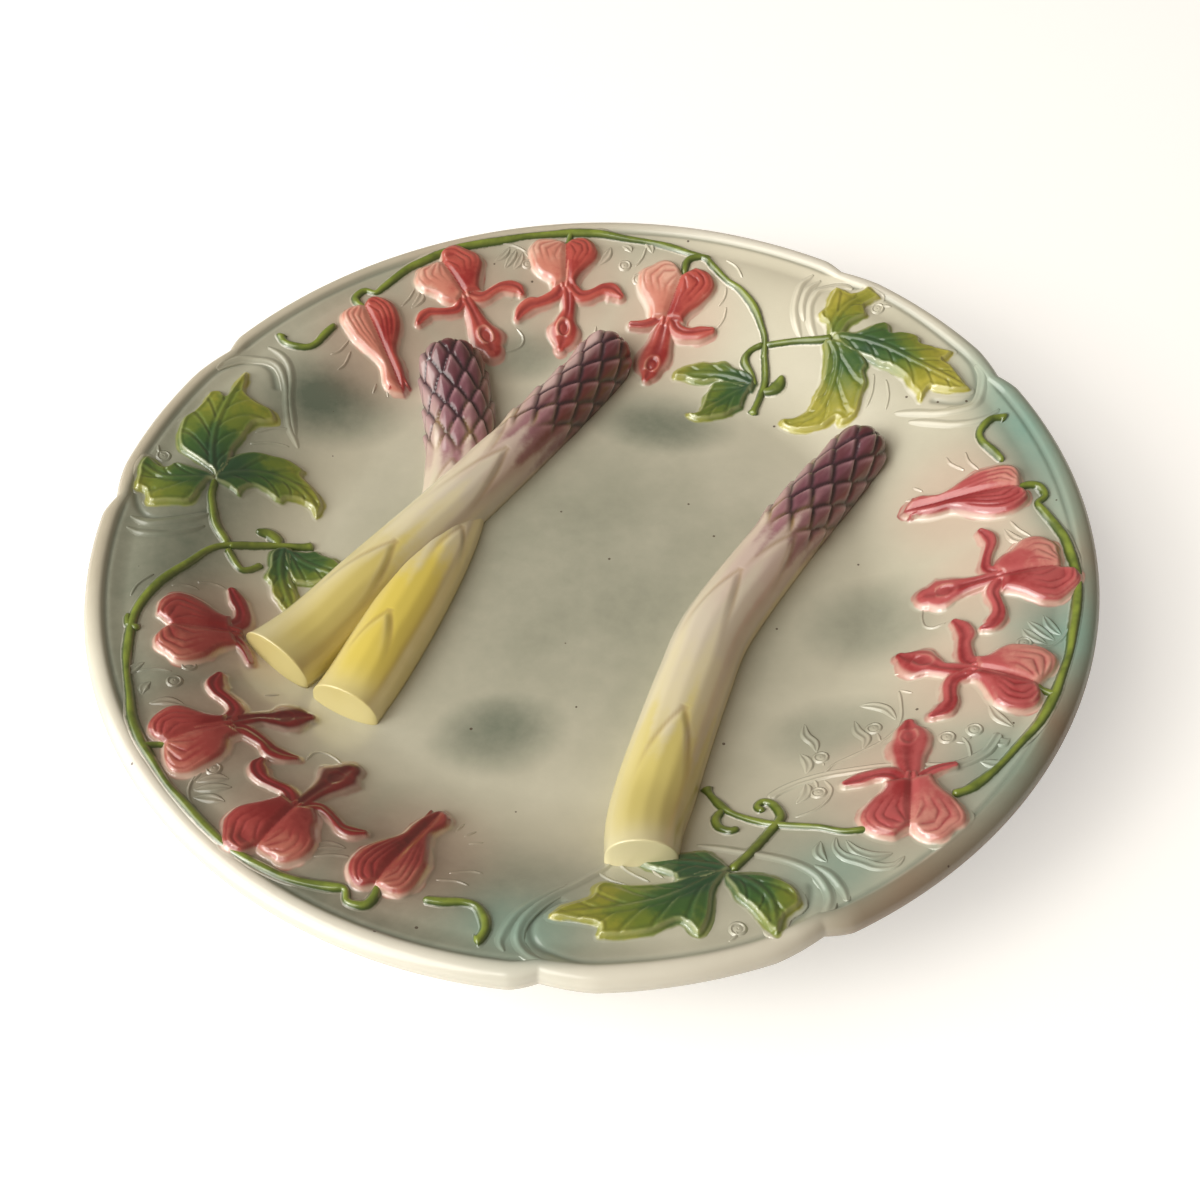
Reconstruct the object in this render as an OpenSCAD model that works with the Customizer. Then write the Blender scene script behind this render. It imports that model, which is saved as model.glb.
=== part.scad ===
// A majolica asparagus plate: a press-moulded earthenware dish on a foot ring,
// with asparagus, flowers, leaves and vines laid on it in relief.
// Millimetres, +Z up, origin at the middle of the face that it rests on.
// The panels with the large leaves stand at 30, 150 and 270 degrees.

/* [Dish] */
// Diameter over the rim
plate_d = 245; // [230:1:265]
// Thickness of the clay, from the well to the edge
wall_t = 6; // [4.5:0.1:7.5]
// Width of the slope from the well up to the lip
slope_w = 44; // [38:1:50]
// Width of the nearly flat lip
lip_w = 7.5; // [5:0.5:10]
// Rise of the slope above the floor of the well
slope_rise = 14.6; // [10:0.1:20]
// Rise of the lip above the slope
lip_rise = 1.9; // [1:0.1:4]
// Width of the plain raised band along the edge
band_w = 5.2; // [4.5:0.1:7]
// Height of that band above the lip
band_h = 0.4; // [0.2:0.1:1]

/* [Foot ring] */
// Height of the foot ring
foot_h = 3; // [2:0.1:5]
// Width of the foot ring where it joins the dish
foot_w = 6; // [5:0.1:9]
// Distance of the foot ring's outside from the edge of the well
foot_inset = 1; // [0.5:0.1:4]
// Slope of each side of the foot ring, measured across
foot_draft = 1; // [0.5:0.1:1.5]

/* [Rim notches] */
// Depth of the notches in the edge
notch_depth = 1.9; // [1:0.1:2.5]
// Width of a notch on the side of its panel
notch_long_w = 11; // [8:0.5:13]
// Width of a notch on its other side
notch_short_w = 5.5; // [4:0.5:8]
// Half the angle between the two notches of a panel
notch_a = 14; // [12:0.5:16]

/* [Asparagus] */
// Width of a spear at its widest
spear_w = 20; // [17:0.5:23]
// Height of a spear above the dish
spear_h = 10; // [8:0.5:12]
// Length of the round tip
tip_len = 9; // [7:0.5:11]

/* [Flowers] */
// Length of a flower from its notch to the end of its tongue
flower_len = 32; // [28:0.5:34]
// Height of the lobes above the dish
lobe_h = 3; // [2:0.1:4]
// Height of the arms and tongue above the dish
arm_h = 2; // [1.4:0.1:2.8]

/* [Leaves] */
// Width of a large leaf from lobe to lobe
leaf_w = 50; // [44:0.5:54]
// Width of a small leaf from lobe to lobe
small_leaf_w = 25; // [21:0.5:28]
// Height of a leaf above the dish
leaf_h = 2.2; // [1.4:0.1:3]

/* [Vines and borders] */
// Width of a vine
vine_w = 2; // [1.4:0.1:2.8]
// Height of a vine above the dish
vine_h = 1.6; // [1:0.1:2.2]
// Width of the ridges round a panel
ridge_w = 1.8; // [1.2:0.1:2.4]
// Height of those ridges above the dish
ridge_h = 0.8; // [0.5:0.1:1.2]

/* [Hidden] */
plate_r = plate_d / 2;
edge_r = wall_t / 2;
lip_r = plate_r - edge_r;
shoulder_r = lip_r - lip_w;
well_r = shoulder_r - slope_w;
band_r = plate_r - band_w;
floor_top = foot_h + wall_t;
crest = floor_top + slope_rise + lip_rise + band_h;
foot_out_r = well_r - foot_inset;
overrun = 1;

// The plants' places are shares of this radius, which runs through the middle of the sprays
spray_share = 0.8163;
spray_r = plate_r * spray_share;

// Turn of each spray about the middle of the dish
top_spray = -60;
right_spray = 180;
left_spray = 60;

// Glaze colours
cream = "#cbbf9f";
clay = "#c9b48c";
spear_cream = "#dccf9a";
crimson = "#b4383f";
leaf_green = "#6f8f3c";
vine_green = "#4f6b2c";
ridge_cream = "#d3c6a8";

$fn = 240;
slope_steps = 14;
edge_steps = 8;
curve_steps = 3;

// A ramp from 0 to 1 that starts and ends level
function ramp(t) = let (c = min(1, max(0, t))) c * c * (3 - 2 * c);

// Height of the dish's upper face at radius r
function dish_z(r) = floor_top
    + slope_rise * ramp((r - well_r) / slope_w)
    + lip_rise * ramp((r - shoulder_r) / lip_w)
    + band_h * ramp((r - band_r) / band_h);

// A point of the plan lifted onto the dish, and above it by up
function on_dish(p, up) = [p.x, p.y, dish_z(norm([p.x, p.y])) + up];

// One stretch of a smooth curve through four rows of numbers, at t from 0 to 1
function bend(a, b, c, d, t) = (2 * b + (c - a) * t + (2 * a - 5 * b + 4 * c - d) * t * t
    + (3 * b - a - 3 * c + d) * t * t * t) / 2;

// Rows of numbers joined by a smooth curve
function curve(rows, steps) = let (last = len(rows) - 1) [
    for (i = [0:last - 1], k = [0:steps - 1])
        bend(rows[max(0, i - 1)], rows[i], rows[i + 1], rows[min(last, i + 2)], k / steps),
    rows[last]
];

// The plan direction of a row in a list of rows
function heading(rows, i) = let (
    a = rows[max(0, i - 1)], b = rows[min(len(rows) - 1, i + 1)], d = [b.x - a.x, b.y - a.y]
) d / norm(d);

// A solid swept along rows of [x, y, half width, height] that lies on the dish.
// The section's points are shares of the half width and of the height.
module sweep(rows, section_shares) {
    n = len(section_shares);
    last = len(rows) - 1;
    points = [for (i = [0:last], s = section_shares) let (d = heading(rows, i), row = rows[i])
        on_dish([row.x - d.y * s.x * row[2], row.y + d.x * s.x * row[2]], s.y * row[3])];
    sides = [for (i = [0:last - 1], k = [0:n - 1]) let (m = (k + 1) % n)
        each [[i * n + k, i * n + m, (i + 1) * n + m], [i * n + k, (i + 1) * n + m, (i + 1) * n + k]]];
    ends = [[for (k = [n - 1:-1:0]) k], [for (k = [0:n - 1]) last * n + k]];
    polyhedron(points, concat(sides, ends));
}

// A low domed solid on the dish, inside an outline that its middle can see all of
pad_ring_shares = [[1, 0], [0.87, 0.6], [0.6, 0.92]];
module pad(outline, middle, height) {
    n = len(outline);
    rings = len(pad_ring_shares);
    points = concat(
        [for (ring = pad_ring_shares, p = outline)
            on_dish(middle + (p - middle) * ring.x, height * ring.y)],
        [on_dish(middle, height), on_dish(middle, 0)]);
    top = rings * n;
    faces = [
        for (i = [0:rings - 2], k = [0:n - 1]) let (m = (k + 1) % n)
            each [[i * n + k, i * n + m, (i + 1) * n + m], [i * n + k, (i + 1) * n + m, (i + 1) * n + k]],
        for (k = [0:n - 1]) [(rings - 1) * n + k, (rings - 1) * n + (k + 1) % n, top],
        for (k = [0:n - 1]) [(k + 1) % n, k, top + 1]
    ];
    polyhedron(points, faces);
}

// Points given as shares, set out from a place, turned and scaled
function turned(p, a) = [p.x * cos(a) - p.y * sin(a), p.x * sin(a) + p.y * cos(a)];
function placed(shares, at, a, size) = [for (s = shares) at + turned([s.x, s.y], a) * size];
function placed_rows(shares, at, a, size, height) = [for (s = shares)
    let (p = at + turned([s.x, s.y], a) * size) [p.x, p.y, s[2] * size, height]];

// Plan section of a rounded stroke
stroke_shares = [[-1, 0], [-0.72, 0.72], [0, 1], [0.72, 0.72], [1, 0]];

// A rounded stroke through rows of shares
module stroke(shares, at, a, size, height) {
    sweep(curve(placed_rows(shares, at, a, size, height), curve_steps), stroke_shares);
}

// The dish

module notch(side) {
    linear_extrude(crest + overrun) polygon([
        [-side * notch_short_w, plate_r + overrun], [-side * notch_short_w, plate_r],
        [0, plate_r - notch_depth],
        [side * notch_long_w, plate_r], [side * notch_long_w, plate_r + overrun]
    ]);
}

module plate_body() {
    slope = [for (i = [0:slope_steps]) well_r + (band_r - well_r) * i / slope_steps];
    upper = concat([0], slope, [band_r + band_h, lip_r]);
    color(cream) difference() {
        rotate_extrude() polygon(concat(
            [for (r = upper) [r, dish_z(r)]],
            [for (i = [1:edge_steps]) let (a = 90 - 180 * i / edge_steps)
                [lip_r + edge_r * cos(a), crest - edge_r + edge_r * sin(a)]],
            [for (i = [slope_steps:-1:0]) [slope[i], dish_z(slope[i]) - wall_t]],
            [[0, foot_h]]
        ));
        for (turn = [top_spray, right_spray, left_spray], side = [-1, 1])
            rotate([0, 0, turn + side * notch_a]) notch(side);
    }
}

module foot_ring() {
    color(clay) rotate_extrude() polygon([
        [foot_out_r - foot_w, foot_h], [foot_out_r - foot_w + foot_draft, 0],
        [foot_out_r - foot_draft, 0], [foot_out_r, foot_h]
    ]);
}

// Asparagus: rows of places and widths, from the cut end to the tip.
// Places are shares of the spray radius, and widths are shares of the spear's width.

spear_over_shares = [
    [-0.79, -0.185, 0.98], [-0.60, 0, 0.94], [-0.34, 0.24, 0.86],
    [-0.137, 0.435, 0.83], [0.055, 0.625, 0.78], [0.215, 0.795, 0.74]
];
spear_under_shares = [
    [-0.64, -0.33, 0.86], [-0.56, -0.21, 0.90], [-0.46, -0.04, 0.90], [-0.37, 0.14, 0.90],
    [-0.30, 0.36, 0.92], [-0.27, 0.56, 0.95], [-0.267, 0.72, 0.93], [-0.27, 0.84, 0.90]
];
spear_right_shares = [
    [-0.035, -0.90, 0.80], [-0.01, -0.80, 0.88], [0.027, -0.71, 0.93], [0.085, -0.59, 0.92],
    [0.18, -0.41, 0.90], [0.27, -0.26, 0.88], [0.46, -0.05, 0.83], [0.655, 0.145, 0.78],
    [0.81, 0.275, 0.74]
];
spear_section_shares = [for (a = [180:-22.5:0]) [cos(a), pow(sin(a), 0.8)]];
// The same section with straight sides that reach below the dish, to cut with
cutter_section_shares = concat([[-1, -0.2]], spear_section_shares, [[1, -0.2]]);
tip_shares = [1, 0.75, 0.5, 0.28, 0.12, 0.02];
stalk_end_share = 1.3;

// Plan distance from the start of a list of rows to row i
function run(rows, i) = i == 0 ? 0
    : run(rows, i - 1) + norm([rows[i].x - rows[i - 1].x, rows[i].y - rows[i - 1].y]);

// The row at a distance along a list of rows
function row_at(rows, d, i = 0) = let (step = norm([rows[i + 1].x - rows[i].x, rows[i + 1].y - rows[i].y]))
    i == len(rows) - 2 || d <= step ? rows[i] + (rows[i + 1] - rows[i]) * min(1, d / step)
    : row_at(rows, d - step, i + 1);

module spear(shares, section_shares = spear_section_shares) {
    path = curve([for (s = shares) [s.x * spray_r, s.y * spray_r, s[2] * spear_w / 2, spear_h]], curve_steps);
    total = run(path, len(path) - 1);
    stalk = [for (i = [0:len(path) - 1]) if (run(path, i) < total - tip_len * stalk_end_share) path[i]];
    tip = [for (t = tip_shares) let (row = row_at(path, total - tip_len * t), c = sqrt(1 - (1 - t) * (1 - t)))
        [row.x, row.y, row[2] * c, row[3] * c]];
    sweep(concat(stalk, tip), section_shares);
}

module spear_over() {
    color(spear_cream) spear(spear_over_shares);
}

module spear_under() {
    color(spear_cream) difference() {
        spear(spear_under_shares);
        spear(spear_over_shares, cutter_section_shares);
    }
}

module spear_right() {
    color(spear_cream) spear(spear_right_shares);
}

// Flowers: a heart of two lobes that opens at a throat, two arms and a tongue.
// Outlines run from the notch of the heart, in shares of the flower's length.

bud_shares = [
    [0.05, 0], [0, 0.05], [-0.01, 0.13], [0.06, 0.22], [0.16, 0.265], [0.30, 0.255], [0.42, 0.20],
    [0.52, 0.13], [0.66, 0.11], [0.83, 0.075], [0.92, 0], [0.85, -0.12], [0.78, -0.135],
    [0.64, -0.10], [0.50, -0.165], [0.37, -0.23], [0.18, -0.255], [0.07, -0.22], [0.03, -0.14]
];
bud_middle_share = [0.25, 0];

// Each flower has an upper and a lower lobe with their middles, two arms and a tongue.
// A spear covers the tongue of the left spray's fourth flower.
second_flower_shares = [
    [[0.02, -0.01], [-0.06, 0.03], [-0.085, 0.10], [-0.07, 0.19], [0, 0.26], [0.11, 0.335],
     [0.20, 0.335], [0.30, 0.28], [0.42, 0.19], [0.51, 0.165], [0.46, 0.02]], [0.17, 0.15],
    [[0.02, -0.03], [0.44, -0.03], [0.53, -0.12], [0.43, -0.22], [0.33, -0.28], [0.26, -0.335],
     [0.17, -0.345], [0.06, -0.29], [0, -0.19]], [0.20, -0.17],
    [[0.46, 0.01, 0.05], [0.52, 0.08, 0.045], [0.55, 0.15, 0.04], [0.54, 0.28, 0.04],
     [0.57, 0.40, 0.04], [0.67, 0.46, 0.03]],
    [[0.42, -0.01, 0.04], [0.52, -0.08, 0.04], [0.54, -0.20, 0.035], [0.50, -0.31, 0.03],
     [0.48, -0.40, 0.03], [0.53, -0.50, 0.02]],
    [[0.46, -0.01, 0.05], [0.60, -0.01, 0.055], [0.75, -0.02, 0.09], [0.88, -0.015, 0.15],
     [0.98, -0.02, 0.08]]
];
third_flower_shares = [
    [[0, 0.01], [-0.06, 0.07], [-0.06, 0.15], [0, 0.26], [0.07, 0.30], [0.20, 0.30], [0.29, 0.24],
     [0.38, 0.155], [0.50, 0.125], [0.48, 0.02]], [0.17, 0.14],
    [[0, -0.01], [0.48, 0], [0.53, -0.11], [0.43, -0.18], [0.36, -0.27], [0.24, -0.32], [0.10, -0.34],
     [0, -0.30], [-0.04, -0.20], [-0.03, -0.10]], [0.19, -0.16],
    [[0.48, 0.04, 0.05], [0.56, 0.12, 0.05], [0.56, 0.22, 0.05], [0.51, 0.33, 0.045],
     [0.52, 0.43, 0.04], [0.56, 0.50, 0.03]],
    [[0.46, -0.03, 0.05], [0.57, -0.08, 0.05], [0.63, -0.19, 0.045], [0.67, -0.31, 0.035],
     [0.79, -0.41, 0.02]],
    [[0.48, 0.03, 0.06], [0.64, 0.04, 0.055], [0.77, 0.02, 0.09], [0.88, 0.01, 0.12],
     [1.01, -0.02, 0.04]]
];
fourth_flower_shares = [
    [[0, 0], [-0.06, 0.05], [-0.095, 0.13], [-0.07, 0.23], [0.01, 0.31], [0.13, 0.32], [0.25, 0.26],
     [0.35, 0.19], [0.44, 0.16], [0.45, 0.01]], [0.15, 0.15],
    [[0, -0.02], [0.45, -0.01], [0.48, -0.14], [0.38, -0.21], [0.29, -0.31], [0.17, -0.38],
     [0.06, -0.37], [-0.04, -0.28], [-0.09, -0.18], [-0.06, -0.08]], [0.16, -0.18],
    [[0.42, 0.05, 0.055], [0.50, 0.13, 0.055], [0.50, 0.24, 0.05], [0.43, 0.41, 0.03]],
    [[0.44, -0.07, 0.04], [0.53, -0.17, 0.03], [0.57, -0.28, 0.015]],
    [[0.43, 0, 0.05], [0.56, 0.01, 0.08], [0.70, 0.02, 0.12], [0.83, 0.01, 0.13],
     [1.0, 0.03, 0.03]]
];

// Places of the bud and the flowers in a spray, as shares of the spray radius, and their headings
bud_place_share = [-1.095, 0.065];
second_place_share = [-1.095, 0.34];
third_place_share = [-0.918, 0.663];
fourth_place_share = [-0.60, 0.84];
right_fourth_place_share = [-0.52, 0.97];
bud_a = -14;
second_a = -9;
third_a = -41;
fourth_a = -62;
right_fourth_a = -110;

module bud(spray) {
    at = bud_place_share * spray_r;
    color(crimson) rotate([0, 0, spray])
        pad(placed(bud_shares, at, bud_a, flower_len),
            at + turned(bud_middle_share, bud_a) * flower_len, lobe_h);
}

module flower(shares, at, a, petals = [4, 5, 6]) {
    for (i = [0, 2])
        pad(placed(shares[i], at, a, flower_len), at + turned(shares[i + 1], a) * flower_len, lobe_h);
    for (i = petals)
        stroke(shares[i], at, a, flower_len, arm_h);
}

module flower_second(spray) {
    color(crimson) rotate([0, 0, spray])
        flower(second_flower_shares, second_place_share * spray_r, second_a);
}

module flower_third(spray) {
    color(crimson) rotate([0, 0, spray])
        flower(third_flower_shares, third_place_share * spray_r, third_a);
}

module flower_fourth(spray) {
    place_share = spray == right_spray ? right_fourth_place_share : fourth_place_share;
    a = spray == right_spray ? right_fourth_a : fourth_a;
    color(crimson) rotate([0, 0, spray])
        flower(fourth_flower_shares, place_share * spray_r, a, spray == left_spray ? [4, 5] : [4, 5, 6]);
}

// Leaves: outlines run from the leaf's junction, in shares of its width

leaf_place_share = [-0.155, 0.97];
large_lobe_shares = [
    [[0.03, -0.01], [-0.03, 0.01], [-0.05, 0.05], [-0.14, 0.08], [-0.14, 0.13], [-0.21, 0.27],
     [-0.11, 0.30], [-0.07, 0.38], [0.04, 0.38], [0.01, 0.29], [0.07, 0.23], [0.05, 0.13]],
    [[-0.02, -0.01], [0.05, 0.09], [0.14, 0.17], [0.18, 0.27], [0.26, 0.25], [0.40, 0.32], [0.43, 0.29],
     [0.60, 0.35], [0.61, 0.28], [0.73, 0.25], [0.85, 0.22], [0.81, 0.15], [0.69, 0.08], [0.70, 0.01],
     [0.59, 0.04], [0.42, 0.06], [0.30, 0.04]],
    [[-0.01, 0.01], [0.30, 0.05], [0.38, -0.06], [0.44, -0.16], [0.47, -0.26], [0.40, -0.30], [0.38, -0.37],
     [0.30, -0.47], [0.19, -0.51], [0.16, -0.47], [0.22, -0.37], [0.20, -0.27], [0.13, -0.14], [0.02, -0.04]]
];
large_middle_shares = [[-0.06, 0.20], [0.45, 0.16], [0.31, -0.24]];
short_lobe_shares = [
    [-0.01, 0.01], [0.30, 0.05], [0.40, -0.03], [0.42, -0.09], [0.30, -0.13], [0.14, -0.10], [0.02, -0.04]
];
short_middle_share = [0.24, -0.04];

small_leaf_place_share = [-0.21, 0.76];
small_leaf_shares = [
    [0, 0.02], [-0.16, 0.06], [-0.32, -0.01], [-0.46, -0.04], [-0.64, -0.20], [-0.76, -0.40],
    [-0.78, -0.51], [-0.72, -0.56], [-0.52, -0.44], [-0.34, -0.32], [-0.34, -0.39], [-0.24, -0.56],
    [-0.21, -0.68], [-0.20, -0.80], [-0.08, -0.80], [0.04, -0.64], [0.10, -0.40], [0.12, -0.30], [0.02, -0.10]
];
small_middle_share = [-0.18, -0.20];

// The lobes of a leaf, each a pad that the leaf's junction belongs to
module leaf_lobes(lobe_shares, middle_shares, at, size, lobes) {
    for (i = lobes)
        pad(placed(lobe_shares[i], at, 0, size), at + middle_shares[i] * size, leaf_h);
}

module large_leaf(spray) {
    at = leaf_place_share * spray_r;
    color(leaf_green) rotate([0, 0, spray]) {
        leaf_lobes(large_lobe_shares, large_middle_shares, at, leaf_w,
            spray == right_spray ? [0, 1] : [0, 1, 2]);
        if (spray == right_spray)
            pad(placed(short_lobe_shares, at, 0, leaf_w), at + short_middle_share * leaf_w, leaf_h);
    }
}

module small_leaf(spray) {
    at = small_leaf_place_share * spray_r;
    color(leaf_green) rotate([0, 0, spray])
        pad(placed(small_leaf_shares, at, 0, small_leaf_w), at + small_middle_share * small_leaf_w, leaf_h);
}

// Vines: places as shares of the spray radius, widths as shares of the vine's width

outer_vine_shares = [
    [-0.64, 0.905], [-0.70, 0.885], [-0.76, 0.85], [-0.82, 0.805], [-0.88, 0.76], [-0.97, 0.65],
    [-1.04, 0.53], [-1.10, 0.40], [-1.12, 0.30], [-1.12, 0.20], [-1.105, 0.12]
];
inner_vine_shares = [
    [-0.165, 0.955], [-0.22, 0.91], [-0.275, 0.875], [-0.32, 0.885], [-0.38, 0.91], [-0.45, 0.92], [-0.56, 0.92]
];
main_vine_shares = concat(inner_vine_shares, outer_vine_shares);
right_stalk_shares = [
    [-0.15, 0.975], [-0.20, 0.93], [-0.26, 0.87], [-0.285, 0.84], [-0.28, 0.795], [-0.26, 0.778]
];
right_stem_shares = [
    [-0.46, 0.945], [-0.395, 0.935], [-0.35, 0.905], [-0.24, 0.845], [-0.19, 0.795], [-0.155, 0.72]
];
tail_vine_shares = [[-1.07, -0.04], [-1.045, -0.12], [-1.05, -0.16], [-1.09, -0.19], [-1.125, -0.18]];
leaf_stalk_shares = [[-0.28, 0.87], [-0.295, 0.82], [-0.285, 0.79], [-0.235, 0.775]];
stub_vine_shares = [[-0.28, 0.87], [-0.20, 0.79], [-0.175, 0.75], [-0.145, 0.69]];
fourth_stalk_shares = [[-0.62, 0.915], [-0.62, 0.875], [-0.605, 0.845]];
third_stalk_shares = [[-0.94, 0.70], [-0.925, 0.675]];

module vine_stroke(shares) {
    rows = curve([for (s = shares) [s.x * spray_r, s.y * spray_r, vine_w / 2, vine_h]], curve_steps);
    sweep(rows, stroke_shares);
}

module vine(spray) {
    strokes = concat([tail_vine_shares, third_stalk_shares], spray == right_spray
        ? [outer_vine_shares, right_stalk_shares, right_stem_shares]
        : [main_vine_shares, stub_vine_shares, leaf_stalk_shares, fourth_stalk_shares]);
    color(vine_green) rotate([0, 0, spray])
        for (shares = strokes) vine_stroke(shares);
}

// Ridges that frame a panel, two on each side of its leaf, in shares of the leaf's width
ridge_shares = [
    [[-0.08, -0.03], [-0.13, 0.01], [-0.21, 0.08], [-0.276, 0.17], [-0.27, 0.24], [-0.21, 0.31]],
    [[-0.17, -0.03], [-0.27, 0.06], [-0.35, 0.15], [-0.384, 0.23], [-0.36, 0.30]],
    [[0.82, 0.34], [0.88, 0.29], [0.93, 0.20], [0.93, 0.13], [0.87, 0.05], [0.77, -0.02], [0.65, -0.09]],
    [[0.97, 0.28], [1.0, 0.20], [0.98, 0.11], [0.91, 0.04], [0.83, -0.02]]
];

module panel_border(spray) {
    at = leaf_place_share * spray_r;
    color(ridge_cream) rotate([0, 0, spray])
        for (shares = ridge_shares)
            sweep(curve([for (s = shares) [at.x + s.x * leaf_w, at.y + s.y * leaf_w, ridge_w / 2, ridge_h]],
                curve_steps), stroke_shares);
}

plate_body();
foot_ring();
spear_under();
spear_over();
spear_right();
bud(top_spray);  // bud_top
bud(right_spray);  // bud_right
bud(left_spray);  // bud_left
flower_second(top_spray);  // flower_second_top
flower_second(right_spray);  // flower_second_right
flower_second(left_spray);  // flower_second_left
flower_third(top_spray);  // flower_third_top
flower_third(right_spray);  // flower_third_right
flower_third(left_spray);  // flower_third_left
flower_fourth(top_spray);  // flower_fourth_top
flower_fourth(right_spray);  // flower_fourth_right
flower_fourth(left_spray);  // flower_fourth_left
vine(top_spray);  // vine_top
vine(right_spray);  // vine_right
vine(left_spray);  // vine_left
large_leaf(top_spray);  // large_leaf_top
large_leaf(right_spray);  // large_leaf_right
large_leaf(left_spray);  // large_leaf_left
small_leaf(top_spray);  // small_leaf_top
small_leaf(left_spray);  // small_leaf_left
panel_border(top_spray);  // panel_border_top
panel_border(right_spray);  // panel_border_right
panel_border(left_spray);  // panel_border_left
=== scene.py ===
"""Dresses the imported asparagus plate: glazed clay, painted relief, camera and light.

Plan sizes are in millimetres and become metres where a mesh is written. The sprays share one
plan, which each of them turns about the plate's axis. A flower's outlines are shares of its length.
"""

import logging
import math
from collections.abc import Callable, Sequence
from dataclasses import dataclass, field
from enum import Enum

import bpy
import numpy as np
from mathutils import Matrix, Vector


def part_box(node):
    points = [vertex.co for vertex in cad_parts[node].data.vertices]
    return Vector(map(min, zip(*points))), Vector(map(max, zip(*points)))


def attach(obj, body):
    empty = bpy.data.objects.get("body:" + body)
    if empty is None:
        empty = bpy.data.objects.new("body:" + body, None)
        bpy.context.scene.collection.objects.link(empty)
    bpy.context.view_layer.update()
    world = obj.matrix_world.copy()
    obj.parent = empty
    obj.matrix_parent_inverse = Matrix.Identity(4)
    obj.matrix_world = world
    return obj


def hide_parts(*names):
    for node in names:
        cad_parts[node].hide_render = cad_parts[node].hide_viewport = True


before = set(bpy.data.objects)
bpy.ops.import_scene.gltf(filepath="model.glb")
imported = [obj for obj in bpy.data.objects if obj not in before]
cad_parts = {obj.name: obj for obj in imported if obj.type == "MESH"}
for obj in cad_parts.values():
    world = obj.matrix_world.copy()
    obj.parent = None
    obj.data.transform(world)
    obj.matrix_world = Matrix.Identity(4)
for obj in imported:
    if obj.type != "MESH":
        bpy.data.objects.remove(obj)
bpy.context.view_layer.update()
MM = 0.001
BODY = "root"
LOG = logging.getLogger("asparagus_plate")

Array = np.ndarray
Row = Sequence[float]
Fields = dict[str, Array]
Colour = tuple[float, float, float]
Socket = bpy.types.NodeSocket
Piece = bpy.types.Object


def turned(x: Array | float, y: Array | float, degrees: float) -> tuple[Array, Array]:
    """Turns points of a plan about its origin."""
    c, s = math.cos(math.radians(degrees)), math.sin(math.radians(degrees))
    return x * c - y * s, x * s + y * c


class Spray(Enum):
    """The three sprays of flowers, each with the turn in degrees from the plan they share."""

    TOP = -60.0
    RIGHT = 180.0
    LEFT = 60.0

    @property
    def word(self) -> str:
        """The spray's word in the names of its pieces."""
        return self.name.lower()

    def on_plate(self, x: Array | float, y: Array | float) -> tuple[Array, Array]:
        """Turns points of the sprays' shared plan into points of the plate's own plan."""
        return turned(x, y, self.value)


def ramp(t: Array | float) -> Array:
    """A rise from 0 to 1 that starts and ends level.

    Args:
        t: Position, 0 at the foot and 1 at the head of the rise.

    Returns:
        The height of the rise at t.
    """
    c = np.clip(t, 0.0, 1.0)
    return c * c * (3.0 - 2.0 * c)


def bell(x: Array, width: float) -> Array:
    """A round bump of height 1 about x = 0, that is width wide to each side."""
    return np.exp(-((x / width) ** 2))


def curve(rows: Sequence[Row], steps: int = 6) -> Array:
    """Joins rows of numbers by a smooth curve through them all.

    Args:
        rows: Points, with any further values that vary along the curve.
        steps: How many points each stretch between two rows becomes.

    Returns:
        An array with one row for each point of the curve.
    """
    p = np.asarray(rows, float)
    ends = np.vstack([p[0], p, p[-1]])
    t = np.linspace(0.0, 1.0, steps, endpoint=False)[:, None]
    parts = []
    for a, b, c, d in zip(ends[:-3], ends[1:-2], ends[2:-1], ends[3:]):
        bend, twist = 2 * a - 5 * b + 4 * c - d, 3 * b - a - 3 * c + d
        parts.append((2 * b + (c - a) * t + bend * t**2 + twist * t**3) / 2)
    return np.vstack(parts + [p[-1:]])


def runs(line: Array) -> Array:
    """How far along a line each of its points lies from its start."""
    return np.concatenate([[0.0], np.cumsum(np.hypot(*np.diff(line[:, :2], axis=0).T))])


def headings(line: Array) -> Array:
    """The direction of a line at each of its points, as steps of length 1."""
    d = np.gradient(line[:, :2], axis=0)
    return d / np.maximum(np.hypot(d[:, 0], d[:, 1]), 1e-9)[:, None]


def inside(x: Array, y: Array, outline: Array) -> Array:
    """Tells which points lie inside a closed outline."""
    found = np.zeros(x.shape, bool)
    ahead = np.roll(outline, -1, axis=0)
    for (x0, y0), (x1, y1) in zip(outline, ahead):
        if y0 == y1:
            continue
        crosses = (y0 > y) != (y1 > y)
        found ^= crosses & (x < (x1 - x0) * (y - y0) / (y1 - y0) + x0)
    return found


@dataclass
class Path:
    """A line through points of the plan that distances are measured from."""

    points: Array

    def measure(self, x: Array, y: Array) -> tuple[Array, Array, Array]:
        """Measures each point of a grid against the line.

        Args:
            x: Plan x of the points.
            y: Plan y of the points.

        Returns:
            The distance, the place along the line in points, and the side as -1 or 1.
        """
        best = np.full(x.shape, np.inf)
        along = np.zeros(x.shape)
        side = np.ones(x.shape)
        for i, (a, b) in enumerate(zip(self.points[:-1, :2], self.points[1:, :2])):
            d = b - a
            length = float(d @ d)
            if length == 0.0:
                continue
            t = np.clip(((x - a[0]) * d[0] + (y - a[1]) * d[1]) / length, 0.0, 1.0)
            ex, ey = x - a[0] - t * d[0], y - a[1] - t * d[1]
            gap = ex * ex + ey * ey
            closer = gap < best
            best = np.where(closer, gap, best)
            along = np.where(closer, i + t, along)
            side = np.where(closer, np.sign(d[0] * ey - d[1] * ex), side)
        return np.sqrt(best), along, side

    def at(self, along: Array, column: int) -> Array:
        """A value of the line's rows at places along it."""
        return np.interp(along, np.arange(len(self.points)), self.points[:, column])


def placed(shares: Sequence[Row], size: float) -> list[list[float]]:
    """Rows of shares as sizes."""
    return [[value * size for value in row] for row in shares]


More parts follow.
